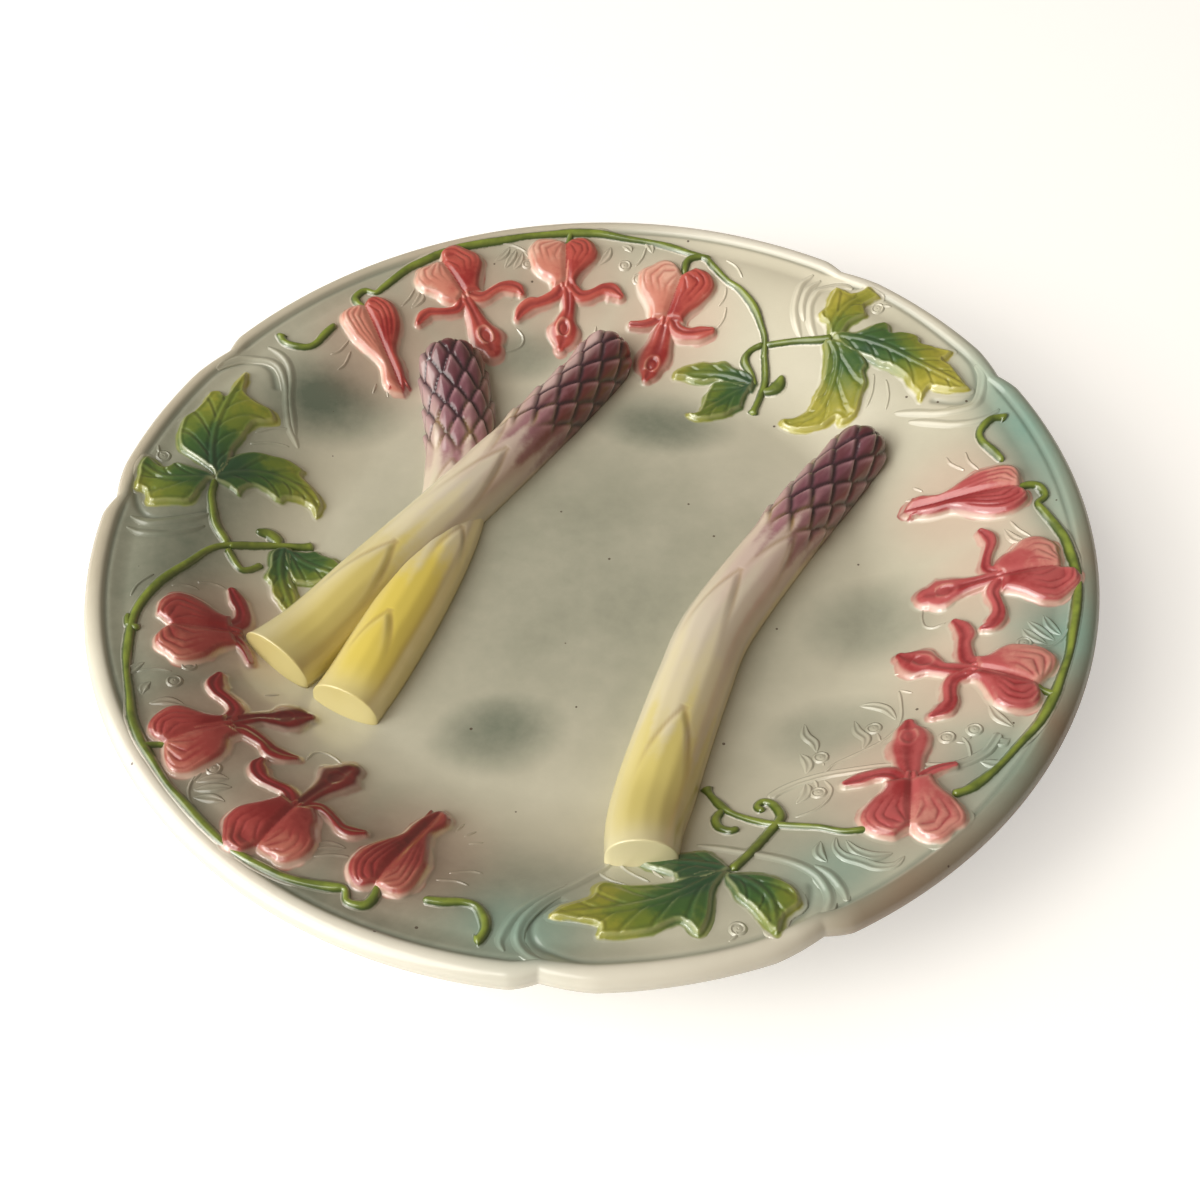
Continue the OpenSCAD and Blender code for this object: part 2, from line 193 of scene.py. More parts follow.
@dataclass(frozen=True)
class Dish:
    """The turned form of the plate that everything on it is seated on."""

    plate_r: float
    foot_h: float
    wall: float = 6.0
    slope_w: float = 44.0
    lip_w: float = 7.5
    slope_rise: float = 14.6
    lip_rise: float = 1.9
    band_w: float = 5.2
    band_h: float = 0.4
    notch_depth: float = 1.9
    notch_long_a: float = 5.6
    notch_short_a: float = 2.9
    notch_a: float = 14.0
    notch_reach: float = 9.0

    @property
    def edge_r(self) -> float:
        """Radius of the rounded edge."""
        return self.wall / 2

    @property
    def lip_r(self) -> float:
        """Radius at which the edge starts to round over."""
        return self.plate_r - self.edge_r

    @property
    def shoulder_r(self) -> float:
        """Radius at which the slope turns into the lip."""
        return self.lip_r - self.lip_w

    @property
    def well_r(self) -> float:
        """Radius of the flat well."""
        return self.shoulder_r - self.slope_w

    @property
    def floor_top(self) -> float:
        """Height of the well's floor."""
        return self.foot_h + self.wall

    @property
    def crest(self) -> float:
        """Height of the rim."""
        return self.floor_top + self.slope_rise + self.lip_rise + self.band_h

    def height(self, x: Array, y: Array) -> Array:
        """Height of the upper face above the table at points of the plan."""
        r = np.hypot(x, y)
        band_r = self.plate_r - self.band_w
        return (
            self.floor_top
            + self.slope_rise * ramp((r - self.well_r) / self.slope_w)
            + self.lip_rise * ramp((r - self.shoulder_r) / self.lip_w)
            + self.band_h * ramp((r - band_r) / (2 * self.band_h))
        )

    def notch(self, angle: Array) -> Array:
        """How far the edge is drawn in at angles, in degrees, about the plate."""
        depth = np.zeros(angle.shape)
        for spray in Spray:
            panel = spray.value + 90.0
            for side in (-1, 1):
                off = (angle - panel - side * self.notch_a + 180.0) % 360.0 - 180.0
                reach = np.where(off * side < 0, self.notch_long_a, self.notch_short_a)
                depth = np.maximum(depth, np.clip(1.0 - np.abs(off) / reach, 0.0, 1.0) ** 1.35)
        return depth * self.notch_depth


FLIPPED = [0, 3, 2, 1]


def joined(grid: Array) -> Array:
    """A grid of corner numbers whose last column joins its first."""
    return np.hstack([grid, grid[:, :1]])


def faces_of(grid: Array) -> Array:
    """The faces between the rows and columns of a grid of corner numbers."""
    return np.stack([grid[:-1, :-1], grid[1:, :-1], grid[1:, 1:], grid[:-1, 1:]], axis=-1).reshape(-1, 4)


def folded(row: Array) -> Array:
    """The faces that close a row of corner numbers by joining its two halves."""
    n = len(row)
    return np.array([[row[k], row[n - 1 - k], row[n - 2 - k], row[k + 1]] for k in range(n // 2 - 1)])


def round_steps(count: int) -> Array:
    """Angles in radians at even steps about the plate's axis."""
    return np.radians(np.arange(count) * 360.0 / count)


def write_mesh(name: str, points: Array, quads: Array, values: Fields, spin: float = 0.0) -> Piece:
    """Makes an object from arrays of corners and faces.

    Args:
        name: The piece's name.
        points: Corners in millimetres.
        quads: Faces, as four corner numbers each.
        values: A number per corner for each named attribute.
        spin: Turn about the plate's axis, in degrees.

    Returns:
        The object, which rides on the plate.
    """
    corners = points.copy()
    corners[:, 0], corners[:, 1] = turned(points[:, 0], points[:, 1], spin)
    mesh = bpy.data.meshes.new(name)
    mesh.vertices.add(len(corners))
    mesh.vertices.foreach_set("co", (corners * MM).astype(np.float32).ravel())
    mesh.loops.add(quads.size)
    mesh.loops.foreach_set("vertex_index", quads.astype(np.int32).ravel())
    mesh.polygons.add(len(quads))
    mesh.polygons.foreach_set("loop_start", np.arange(0, quads.size, 4, dtype=np.int32))
    mesh.polygons.foreach_set("loop_total", np.full(len(quads), 4, np.int32))
    mesh.polygons.foreach_set("use_smooth", np.ones(len(quads), bool))
    for key, numbers in values.items():
        layer = mesh.attributes.new(key, "FLOAT", "POINT")
        layer.data.foreach_set("value", np.ascontiguousarray(numbers, np.float32).ravel())
    mesh.update(calc_edges=True)
    mesh.validate()
    piece = bpy.data.objects.new(name, mesh)
    bpy.context.scene.collection.objects.link(piece)
    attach(piece, BODY)
    LOG.info("%s: %d faces", name, len(quads))
    return piece


HERE, NEXT = slice(None, -1), slice(1, None)
CELL_SIDES = ((-1, 0, (0, 0), (0, 1)), (0, 1, (0, 1), (1, 1)), (1, 0, (1, 1), (1, 0)),
              (0, -1, (1, 0), (0, 0)))


@dataclass(frozen=True)
class ReliefSheet:
    """Clay laid on the dish: a closed skin over a fine grid of heights above it."""

    dish: Dish
    step: float = 0.26
    root: float = 0.7
    sunk: float = 0.84

    def build(self, name: str, spray: Spray, span: tuple[Row, Row], shape: Callable[[Array, Array], Fields],
              painting: "Painting") -> Piece:
        """Makes a piece of relief.

        Args:
            name: The piece's name.
            spray: The spray whose turn the piece takes.
            span: Lowest and highest plan corner that the piece reaches.
            shape: Gives height and other fields at points of the plan. Below 0 is off the piece.
            painting: The ground's painting, which shows past the piece's own paint.

        Returns:
            The piece.
        """
        (x0, y0), (x1, y1) = span
        xs = np.arange(x0, x1, self.step)
        ys = np.arange(y0, y1, self.step)
        x, y = np.meshgrid(xs, ys)
        fields = shape(x, y)
        up = fields.pop("height")
        kept = up > -self.root
        cell = kept[:-1, :-1] & kept[1:, :-1] & kept[1:, 1:] & kept[:-1, 1:]
        used = np.zeros(up.shape, bool)
        for rows, columns in ((HERE, HERE), (NEXT, HERE), (NEXT, NEXT), (HERE, NEXT)):
            used[rows, columns] |= cell
        number = np.full(up.shape, -1)
        count = int(used.sum())
        number[used] = np.arange(count)
        j, i = np.nonzero(cell)
        corners = [number[j, i], number[j, i + 1], number[j + 1, i + 1], number[j + 1, i]]
        top = np.stack(corners, axis=1)
        bottom = top[:, ::-1] + count
        starts, ends = [], []
        padded = np.pad(cell, 1)
        tall, wide = padded.shape
        for dj, di, a, b in CELL_SIDES:
            beside = padded[1 + dj:tall - 1 + dj, 1 + di:wide - 1 + di]
            open_side = cell & ~beside
            jj, ii = np.nonzero(open_side)
            starts.append(number[jj + a[0], ii + a[1]])
            ends.append(number[jj + b[0], ii + b[1]])
        start, end = np.concatenate(starts), np.concatenate(ends)
        skirt = np.stack([end, start, start + count, end + count], axis=1)
        px, py = x[used], y[used]
        ground = self.dish.height(px, py)
        upper = np.stack([px, py, ground + up[used]], axis=1)
        lower = np.stack([px, py, ground - self.sunk], axis=1)
        values = {key: np.tile(grid[used], 2) for key, grid in fields.items()}
        ground_paint = painting.fields(*spray.on_plate(px, py))
        values.update({key: np.tile(grid, 2) for key, grid in ground_paint.items()})
        skin, faces = np.vstack([upper, lower]), np.vstack([top, bottom, skirt])
        return write_mesh(name, skin, faces, values, spray.value)


FILLET_W = 1.3
FILLET_H = 0.26
FILLET_SINK = 0.02
FALL_SHARE = 2.6
ROUND_POWER = 0.85


def rounded(gap: Array, shoulder: float) -> Array:
    """The rise of a rounded edge, from 0 at the outline to 1 where its shoulder ends."""
    return np.sin(np.clip(gap / shoulder, 0.0, 1.0) * math.pi / 2) ** ROUND_POWER


def outside_edge(gap: Array) -> Array:
    """Height of the soft foot that a relief has beyond its outline, at a distance from the outline."""
    foot = FILLET_H * np.clip(1.0 - gap / FILLET_W, 0.0, 1.0) ** 2 - FILLET_SINK
    return foot - FALL_SHARE * np.maximum(gap - FILLET_W, 0.0)


def overlaid(under: Fields, over: Fields) -> Fields:
    """Lays one set of fields over another: the higher one shows."""
    higher = over["height"] > under["height"]
    found = {key: np.where(higher, over[key], under[key]) for key in under}
    found["edge"] = np.minimum(under["edge"], over["edge"])
    return found


@dataclass(frozen=True)
class Stroke:
    """A long rounded form, such as an arm or a fold, along rows of x, y and half width."""

    rows: Sequence[Row]
    tall: float
    tint: float = 0.5
    groove: float = 0.3
    rim: float = 0.5
    lean: float = 0.2

    def shape(self, x: Array, y: Array) -> Fields:
        """The fields of the form at points of the plan."""
        path = Path(curve(self.rows))
        gap, along, side = path.measure(x, y)
        half = np.maximum(path.at(along, 2), 0.05)
        share = gap / half
        across = share * side
        body = np.clip(1.0 - share**2.2, 0.0, 1.0) ** 0.6
        slot = bell(across - self.lean, 0.26) * np.clip(half / 1.2, 0.0, 1.0)
        up = FILLET_H + self.tall * body - self.groove * slot * body
        return {
            "height": np.where(share < 1.0, up, outside_edge(gap - half)),
            "rim": self.rim * ramp((share - 0.6) / 0.3),
            "pool_and_shadow": 0.8 * slot * np.clip(self.groove / 0.4, 0.0, 1.0),
            "tint": np.full(x.shape, self.tint) + 0.12 * bell(across + 0.45, 0.25),
            "edge": gap - half,
        }


@dataclass(frozen=True)
class Lobe:
    """One side of a heart-shaped flower, with rounded folds that run round its back into the throat."""

    edge: Sequence[Row]
    tall: float
    tint: float
    fold_share: float = 0.17
    folds: int = 4
    fold_h: float = 0.30
    valley: float = 0.8
    shoulder: float = 1.7

    def shape(self, x: Array, y: Array) -> Fields:
        """The fields of the lobe at points of the plan."""
        outer = curve(self.edge)
        out_gap, _, _ = Path(outer).measure(x, y)
        in_gap, _, _ = Path(np.vstack([outer[0], outer[-1]])).measure(x, y)
        within = inside(x, y, outer)
        width = out_gap + in_gap
        share = out_gap / np.maximum(width, 0.01)
        along = x / outer[-1, 0]
        rise = rounded(out_gap, self.shoulder)
        dome = 0.74 + 0.26 * np.sin(math.pi * np.clip(share * 0.95, 0.0, 1.0))
        dip = self.valley + (1.0 - self.valley) * ramp(in_gap / 1.8)
        fade = np.clip((width - 2.0) / 3.0, 0.0, 1.0) * (1.0 - ramp((along - 0.2) / 0.5))
        place = (share + 0.02 * np.sin(9.0 * along)) / self.fold_share
        turn = place - np.floor(place)
        fade = fade * ((place < self.folds + 0.5) & (place > 0.55))
        crest = np.sin(math.pi * turn) ** 0.55
        cut = bell((turn - np.round(turn)) * self.fold_share * width, 0.26) * fade
        up = self.tall * rise * dome * dip - self.fold_h * (1.0 - crest) * fade * rise
        crease = bell(in_gap, 0.34) * ramp((along - 0.2) / 0.4)
        return {
            "height": np.where(within, FILLET_H + up, outside_edge(np.minimum(out_gap, in_gap))),
            "rim": 1.0 - ramp((out_gap - 0.25) / 0.6),
            "pool_and_shadow": np.maximum(np.maximum(0.45 * cut, 0.75 * crease), 0.35 * bell(out_gap - 1.35, 0.5)),
            "tint": self.tint + 0.16 * (crest - 0.6) * fade + 0.16 * bell(out_gap - 1.4, 0.8),
            "edge": np.where(within, -out_gap, np.minimum(out_gap, in_gap)),
        }


@dataclass(frozen=True)
class FlowerForm:
    """The outlines of one kind of flower, in shares of its length, from the notch of its heart."""

    upper: Sequence[Row]
    lower: Sequence[Row]
    arms: Sequence[Sequence[Row]] = ()
    tongue: Sequence[Row] = ()
    folds: float = 0.03


BUD = FlowerForm(
    upper=[(0.04, 0.0), (-0.01, 0.06), (-0.01, 0.13), (0.03, 0.19), (0.09, 0.24), (0.16, 0.265),
           (0.25, 0.265), (0.33, 0.245), (0.40, 0.21), (0.46, 0.17), (0.52, 0.13), (0.58, 0.11),
           (0.66, 0.11), (0.75, 0.10), (0.83, 0.075), (0.90, 0.04), (0.93, 0.0)],
    lower=[(0.04, 0.0), (0.03, -0.08), (0.03, -0.14), (0.05, -0.20), (0.10, -0.24), (0.18, -0.255),
           (0.28, -0.245), (0.37, -0.23), (0.43, -0.20), (0.50, -0.165), (0.57, -0.125), (0.64, -0.10),
           (0.70, -0.11), (0.78, -0.135), (0.85, -0.12), (0.90, -0.07), (0.93, 0.0)],
    arms=[[(0.30, 0.05, 0.03), (0.50, 0.045, 0.035), (0.70, 0.05, 0.03), (0.86, 0.06, 0.015)],
          [(0.36, -0.04, 0.03), (0.55, -0.04, 0.03), (0.75, -0.06, 0.035), (0.84, -0.09, 0.02)]],
)
SECOND = FlowerForm(
    upper=[(0.02, -0.01), (-0.06, 0.03), (-0.085, 0.10), (-0.08, 0.17), (-0.05, 0.22), (0.0, 0.26),
           (0.05, 0.30), (0.11, 0.335), (0.18, 0.335), (0.24, 0.32), (0.30, 0.28), (0.36, 0.23),
           (0.42, 0.19), (0.47, 0.165), (0.51, 0.165), (0.48, 0.0)],
    lower=[(0.02, -0.01), (0.01, -0.08), (0.01, -0.14), (0.0, -0.19), (0.02, -0.25), (0.06, -0.29),
           (0.12, -0.33), (0.20, -0.345), (0.28, -0.325), (0.33, -0.28), (0.38, -0.24), (0.43, -0.22),
           (0.48, -0.18), (0.51, -0.14), (0.53, -0.10), (0.48, 0.0)],
    arms=[[(0.44, 0.01, 0.05), (0.52, 0.08, 0.045), (0.55, 0.15, 0.04), (0.54, 0.25, 0.035),
           (0.54, 0.33, 0.04), (0.57, 0.40, 0.05), (0.62, 0.45, 0.045), (0.67, 0.46, 0.02)],
          [(0.42, -0.01, 0.04), (0.50, -0.06, 0.04), (0.55, -0.12, 0.035), (0.54, -0.20, 0.03),
           (0.51, -0.28, 0.03), (0.48, -0.36, 0.035), (0.49, -0.43, 0.04), (0.53, -0.50, 0.02)]],
    tongue=[(0.46, -0.01, 0.05), (0.60, -0.01, 0.055), (0.70, -0.015, 0.07), (0.80, -0.02, 0.11),
            (0.90, -0.015, 0.15), (0.98, -0.02, 0.09)],
)
THIRD = FlowerForm(
    upper=[(0.0, 0.0), (-0.04, 0.06), (-0.06, 0.13), (-0.05, 0.20), (0.0, 0.26), (0.06, 0.29), (0.14, 0.31),
           (0.22, 0.295), (0.28, 0.25), (0.33, 0.20), (0.38, 0.155), (0.44, 0.125), (0.51, 0.125),
           (0.48, 0.02)],
    lower=[(0.0, 0.0), (-0.02, -0.06), (-0.04, -0.14), (-0.04, -0.22), (-0.02, -0.28), (0.03, -0.32),
           (0.10, -0.34), (0.18, -0.33), (0.26, -0.31), (0.34, -0.28), (0.40, -0.22), (0.45, -0.14),
           (0.53, -0.10), (0.48, 0.02)],
    arms=[[(0.46, 0.03, 0.05), (0.56, 0.12, 0.05), (0.57, 0.20, 0.045), (0.54, 0.28, 0.04),
           (0.51, 0.35, 0.045), (0.52, 0.43, 0.055), (0.57, 0.50, 0.03)],
          [(0.46, -0.03, 0.05), (0.55, -0.06, 0.05), (0.60, -0.13, 0.045), (0.64, -0.22, 0.04),
           (0.66, -0.30, 0.05), (0.72, -0.37, 0.045), (0.79, -0.41, 0.02)]],
    tongue=[(0.48, 0.03, 0.06), (0.60, 0.04, 0.06), (0.70, 0.04, 0.05), (0.78, 0.02, 0.08),
            (0.86, 0.01, 0.13), (0.95, 0.0, 0.11), (1.03, -0.02, 0.03)],
)
FOURTH = FlowerForm(
    upper=[(0.0, -0.01), (-0.05, 0.04), (-0.09, 0.08), (-0.09, 0.16), (-0.07, 0.23), (-0.02, 0.29),
           (0.05, 0.325), (0.13, 0.32), (0.20, 0.29), (0.27, 0.25), (0.33, 0.20), (0.39, 0.17),
           (0.44, 0.16), (0.46, 0.0)],
    lower=[(0.0, -0.01), (-0.05, -0.06), (-0.09, -0.13), (-0.09, -0.21), (-0.05, -0.27), (0.0, -0.31),
           (0.06, -0.37), (0.14, -0.385), (0.22, -0.36), (0.29, -0.31), (0.35, -0.24), (0.40, -0.19),
           (0.46, -0.16), (0.50, -0.13), (0.46, 0.0)],
    arms=[[(0.42, 0.04, 0.055), (0.49, 0.10, 0.055), (0.51, 0.17, 0.05), (0.50, 0.25, 0.045),
           (0.47, 0.33, 0.05), (0.43, 0.42, 0.03)],
          [(0.44, -0.06, 0.04), (0.50, -0.12, 0.035), (0.54, -0.19, 0.03), (0.57, -0.28, 0.02)]],
    tongue=[(0.43, 0.0, 0.05), (0.55, 0.01, 0.08), (0.65, 0.02, 0.10), (0.75, 0.02, 0.13),
            (0.85, 0.01, 0.125), (0.95, 0.03, 0.08), (1.01, 0.03, 0.03)],
)


@dataclass(frozen=True)
class Flower:
    """A heart-shaped flower, or its bud, in a spray."""

    dish: Dish
    node: str
    form: FlowerForm
    spray: Spray
    at: tuple[float, float]
    heading: float
    tints: tuple[float, float] = (0.4, 0.65)
    length: float = 32.0
    lobe_h: float = 2.1
    arm_h: float = 1.5
    tongue: bool = True
    depth: float = 0.0
    ring: float = 1.0
    reach_share: float = 1.12

    def shape(self, x: Array, y: Array) -> Fields:
        """The fields of the whole flower at points of the plan."""
        u, v = turned(x - self.at[0], y - self.at[1], -self.heading)
        size = self.length
        dark, light = self.tints
        middle = (dark + light) / 2
        open_flower = bool(self.form.tongue)
        found = overlaid(Lobe(placed(self.form.upper, size), self.lobe_h, dark).shape(u, v),
                         Lobe(placed(self.form.lower, size), self.lobe_h, light).shape(u, v))
        if open_flower:
            for side in (-1.0, 1.0):
                rows = [(0.24, side * 0.03, 0.010), (0.34, side * 0.034, self.form.folds),
                        (0.42, side * 0.03, self.form.folds), (0.49, side * 0.02, self.form.folds * 0.8)]
                fold = Stroke(placed(rows, size), self.lobe_h * 0.8, middle + 0.1, 0.0, 0.15)
                found = overlaid(found, fold.shape(u, v))
        for arm in self.form.arms:
            if open_flower:
                wide = [(px, py, max(1.5 * half, 0.036)) for px, py, half in arm]
                form = Stroke(placed(wide, size), self.arm_h, middle - 0.02, 0.4, 0.8)
            else:
                form = Stroke(placed(arm, size), self.lobe_h * 0.86, middle - 0.04, 0.2, 0.2)
            found = overlaid(found, form.shape(u, v))
        if open_flower and self.tongue:
            rows = placed([(px, py, half + 0.02) for px, py, half in self.form.tongue], size)
            tongue = Stroke(rows, self.arm_h, dark + 0.1 - 0.2 * self.depth, 0.35, 0.7, 0.0).shape(u, v)
            off_ring = np.hypot((u - 0.86 * size) / 1.35, v - rows[-2][1]) - 1.9
            back = u < 0.93 * size
            tongue["tint"] = tongue["tint"] + 0.34 * self.ring * bell(off_ring, 0.4) * back
            groove = 0.9 * self.ring * bell(off_ring + 0.75, 0.35) * back
            tongue["pool_and_shadow"] = np.maximum(tongue["pool_and_shadow"], groove)
            ridge = 0.3 * bell(off_ring, 0.45) - 0.2 * bell(off_ring + 0.8, 0.4)
            tongue["height"] += self.ring * ridge * back
            found = overlaid(found, tongue)
        along = np.clip(u / size, 0.0, 1.0)
        found["tint"] = found["tint"] - (0.16 + 0.12 * self.depth) * ramp((along - 0.08) / 0.42) + 0.08
        return found

    def build(self, painting: "Painting") -> Piece:
        """Makes the flower, which stands for its node, on the painted ground."""
        reach = self.reach_share * self.length
        corner = (self.at[0] - reach, self.at[1] - reach)
        far = (self.at[0] + reach, self.at[1] + reach)
        sheet = ReliefSheet(self.dish)
        piece = sheet.build("sculpted_" + self.node, self.spray, (corner, far), self.shape, painting)
        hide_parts(self.node)
        return piece


@dataclass(frozen=True)
class LeafLobe:
    """One lobe of a leaf: its outline and the vein down its middle, in millimetres of the spray's plan."""

    outline: Sequence[Row]
    vein: Sequence[Row]


@dataclass(frozen=True)
class Leaf:
    """A lobed leaf with a rolled edge, a main vein in each lobe and slanting side veins."""

    dish: Dish
    node: str
    spray: Spray
    darkest_at: tuple[float, float]
    lobes: Sequence[LeafLobe]
    reach: float = 30.0
    tall: float = 1.45
    shoulder: float = 1.0
    vein_gap: float = 6.4
    margin: float = 2.4

    def lobe_shape(self, lobe: LeafLobe, x: Array, y: Array) -> Fields:
        """The fields of one lobe at points of the plan."""
        outline = curve(list(lobe.outline) + [lobe.outline[0]], 3)
        gap, _, _ = Path(outline).measure(x, y)
        within = inside(x, y, outline)
        vein = curve(lobe.vein, 5)
        from_vein, along, side = Path(vein).measure(x, y)
        marks = runs(vein)
        run = np.interp(along, np.arange(len(vein)), marks)
        whole = float(marks[-1])
        slant = (run - 1.9 * from_vein + 0.10 * from_vein**2) / self.vein_gap + 0.3 * side
        off = (slant - np.round(slant)) * self.vein_gap
        spread = ramp((from_vein - 0.4) / 0.9) * ramp((whole - run) / 3.0) * ramp(gap / 1.2)
        side_vein = bell(off / 2.1, 0.26) * spread
        fold = bell((off - 1.1) / 2.1, 0.3) * spread
        main_vein = bell(from_vein, 0.36) * ramp((whole - run + 1.0) / 2.0)
        valley = bell(from_vein - 0.95, 0.45) * ramp(gap / 1.2)
        rise = rounded(gap, self.shoulder)
        rolled = bell(gap - 0.9, 0.45)
        up = self.tall * rise * (0.70 + 0.12 * rolled) + 0.10 * main_vein + 0.07 * side_vein
        up += (0.22 * ramp(gap / 3.0) - 0.18 * valley - 0.22 * fold) * rise
        far = np.hypot(x - self.darkest_at[0], y - self.darkest_at[1])
        reach = np.clip(far / self.reach, 0.0, 1.0)
        pooled = np.maximum(0.5 * fold + 0.5 * valley, 0.45 * bell(gap - 1.5, 0.45))
        return {
            "height": np.where(within, FILLET_H + up, outside_edge(gap)),
            "rim": 0.75 * bell(gap - 0.55, 0.4) + 0.1 * side_vein + 0.1 * main_vein * ramp(far / 6.0),
            "pool_and_shadow": pooled * (1.0 - 0.35 * reach),
            "tint": np.clip(reach - 0.12 * bell(from_vein, 2.5), 0.0, 1.0),
            "edge": np.where(within, -gap, gap),
        }

    def shape(self, x: Array, y: Array) -> Fields:
        """The fields of the leaf at points of the plan."""
        found = self.lobe_shape(self.lobes[0], x, y)
        for lobe in self.lobes[1:]:
            found = overlaid(found, self.lobe_shape(lobe, x, y))
        return found

    def build(self, painting: "Painting") -> Piece:
        """Makes the leaf, which stands for its node, on the painted ground."""
        points = np.array([p for lobe in self.lobes for p in lobe.outline])
        span = (points.min(axis=0) - self.margin, points.max(axis=0) + self.margin)
        sheet = ReliefSheet(self.dish)
        piece = sheet.build("sculpted_" + self.node, self.spray, span, self.shape, painting)
        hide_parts(self.node)
        return piece


STALK_SECTION = [(-1.9, -0.05), (-1.45, 0.05), (-1.15, 0.22), (-0.95, 0.52), (-0.7, 0.82), (-0.35, 0.97),
                 (0.0, 1.0), (0.35, 0.97), (0.7, 0.82), (0.95, 0.52), (1.15, 0.22), (1.45, 0.05),
                 (1.9, -0.05)]
LEAFLET_SECTION = [(-1.5, -0.1), (-1.15, 0.15), (-0.9, 0.85), (-0.65, 1.0), (-0.35, 0.6), (0.0, 0.4),
                   (0.35, 0.6), (0.65, 1.0), (0.9, 0.85), (1.15, 0.15), (1.5, -0.1)]
SOFT_PLACES = (-1.5, -1.1, -0.8, -0.5, -0.25, 0.0, 0.25, 0.5, 0.8, 1.1, 1.5)
SOFT_SECTION = [(s, math.exp(-((1.35 * s) ** 2)) - 0.08) for s in SOFT_PLACES]
BERRY_PROFILE = [(0.0, 0.9), (0.25, 0.86), (0.5, 0.7), (0.68, 0.42), (0.78, 0.3), (0.9, 0.75), (1.0, 0.9),
                 (1.1, 0.7), (1.22, 0.2), (1.4, -0.05)]


@dataclass
class Strokes:
    """Raised strokes that lie on the dish, swept along smooth lines and joined into one piece."""

    dish: Dish
    name: str
    spray: Spray
    sunk: float = 0.7
    steps: int = 7
    berry_turns: int = 24
    points: list[Array] = field(default_factory=list)
    quads: list[Array] = field(default_factory=list)
    rims: list[Array] = field(default_factory=list)
    count: int = 0

    def add(self, upper: Array, rims: Array, closed: bool = False) -> None:
        """Adds a swept grid, with a hidden underside that closes it.

        Args:
            upper: Corners of the visible face, in rows and columns.
            rims: How high on the stroke each corner lies, from 0 to 1.
            closed: Whether the last column joins the first.
        """
        grid = np.arange(upper.shape[0] * upper.shape[1]).reshape(upper.shape[:2])
        size = grid.size
        upper = upper.reshape(-1, 3)
        lower = upper.copy()
        lower[:, 2] = self.dish.height(upper[:, 0], upper[:, 1]) - self.sunk
        if closed:
            grid = joined(grid)
        top = faces_of(grid)
        sides = [(grid[0, :-1], grid[0, 1:]), (grid[-1, 1:], grid[-1, :-1])]
        if not closed:
            sides += [(grid[:-1, -1], grid[1:, -1]), (grid[1:, 0], grid[:-1, 0])]
        start, end = (np.concatenate(points) for points in zip(*sides))
        skirt = np.stack([start, end, end + size, start + size], axis=1)
        self.points.append(np.vstack([upper, lower]))
        self.quads.append(np.vstack([top, top[:, ::-1] + size, skirt]) + self.count)
        self.rims.append(np.tile(rims.ravel(), 2))
        self.count += 2 * size

    def sweep(self, rows: Sequence[Row], half: float, tall: float, section: Sequence[Row] = STALK_SECTION,
              taper: float = 1.0) -> None:
        """Sweeps a section along rows of x, y and, where given, a share of the width.

        Args:
            rows: The line's points.
            half: Half the width.
            tall: The height above the dish.
            section: Points of the section, in shares of half the width and of the height.
            taper: Length of each rounded end, in half widths.
        """
        line = curve([list(row) + [1.0] * (3 - len(row)) for row in rows], self.steps)
        d = headings(line)
        run = runs(line)
        from_end = np.minimum(run, run[-1] - run) / (half * taper)
        end = np.sqrt(np.clip(1.0 - (1.0 - np.clip(from_end + 0.02, 0.0, 1.0)) ** 2, 0.0, 1.0))
        width = half * line[:, 2] * end
        sx, sz = np.asarray(section, float).T
        px = line[:, 0, None] - d[:, 1, None] * width[:, None] * sx
        py = line[:, 1, None] + d[:, 0, None] * width[:, None] * sx
        up = tall * end[:, None] * sz * np.clip(line[:, 2, None], 0.5, 1.0)
        upper = np.stack([px, py, self.dish.height(px, py) + up], axis=-1)
        self.add(upper, np.tile(np.clip(sz, 0.0, 1.0), len(line)))

    def berry(self, x: float, y: float, radius: float, tall: float) -> None:
        """Adds a round bead with a groove round it."""
        shares, heights = np.asarray(BERRY_PROFILE).T
        turns = np.linspace(0.0, 2 * math.pi, self.berry_turns, endpoint=False)
        r, a = np.meshgrid(shares * radius + 0.01, turns, indexing="ij")
        px, py = x + r * np.cos(a), y + r * np.sin(a)
        up = np.repeat(heights[:, None], self.berry_turns, axis=1)
        upper = np.stack([px, py, self.dish.height(px, py) + tall * up], axis=-1)
        self.add(upper, np.clip(up, 0.0, 1.0), True)

    def build(self, painting: "Painting") -> Piece:
        """Makes the piece, with the painted ground's fields."""
        points = np.vstack(self.points)
        rim = np.concatenate(self.rims)
        values = {"rim": rim, "foot": 4.0 * rim * np.clip(1.0 - 2.2 * rim, 0.0, 1.0)}
        values.update(painting.fields(*self.spray.on_plate(points[:, 0], points[:, 1])))
        return write_mesh(self.name, points, np.vstack(self.quads), values, self.spray.value)


CUT_CAP = ((0.02, 0.22), (0.06, 0.42), (0.16, 0.55), (0.35, 0.75), (0.6, 0.95), (0.82, 1.1), (0.94, 1.2),
           (1.0, 1.22))


@dataclass(frozen=True)
class Bract:
    """A pointed scale on a spear's stalk: places are millimetres along and shares across."""

    start: float
    end: float
    across: float
    half: float


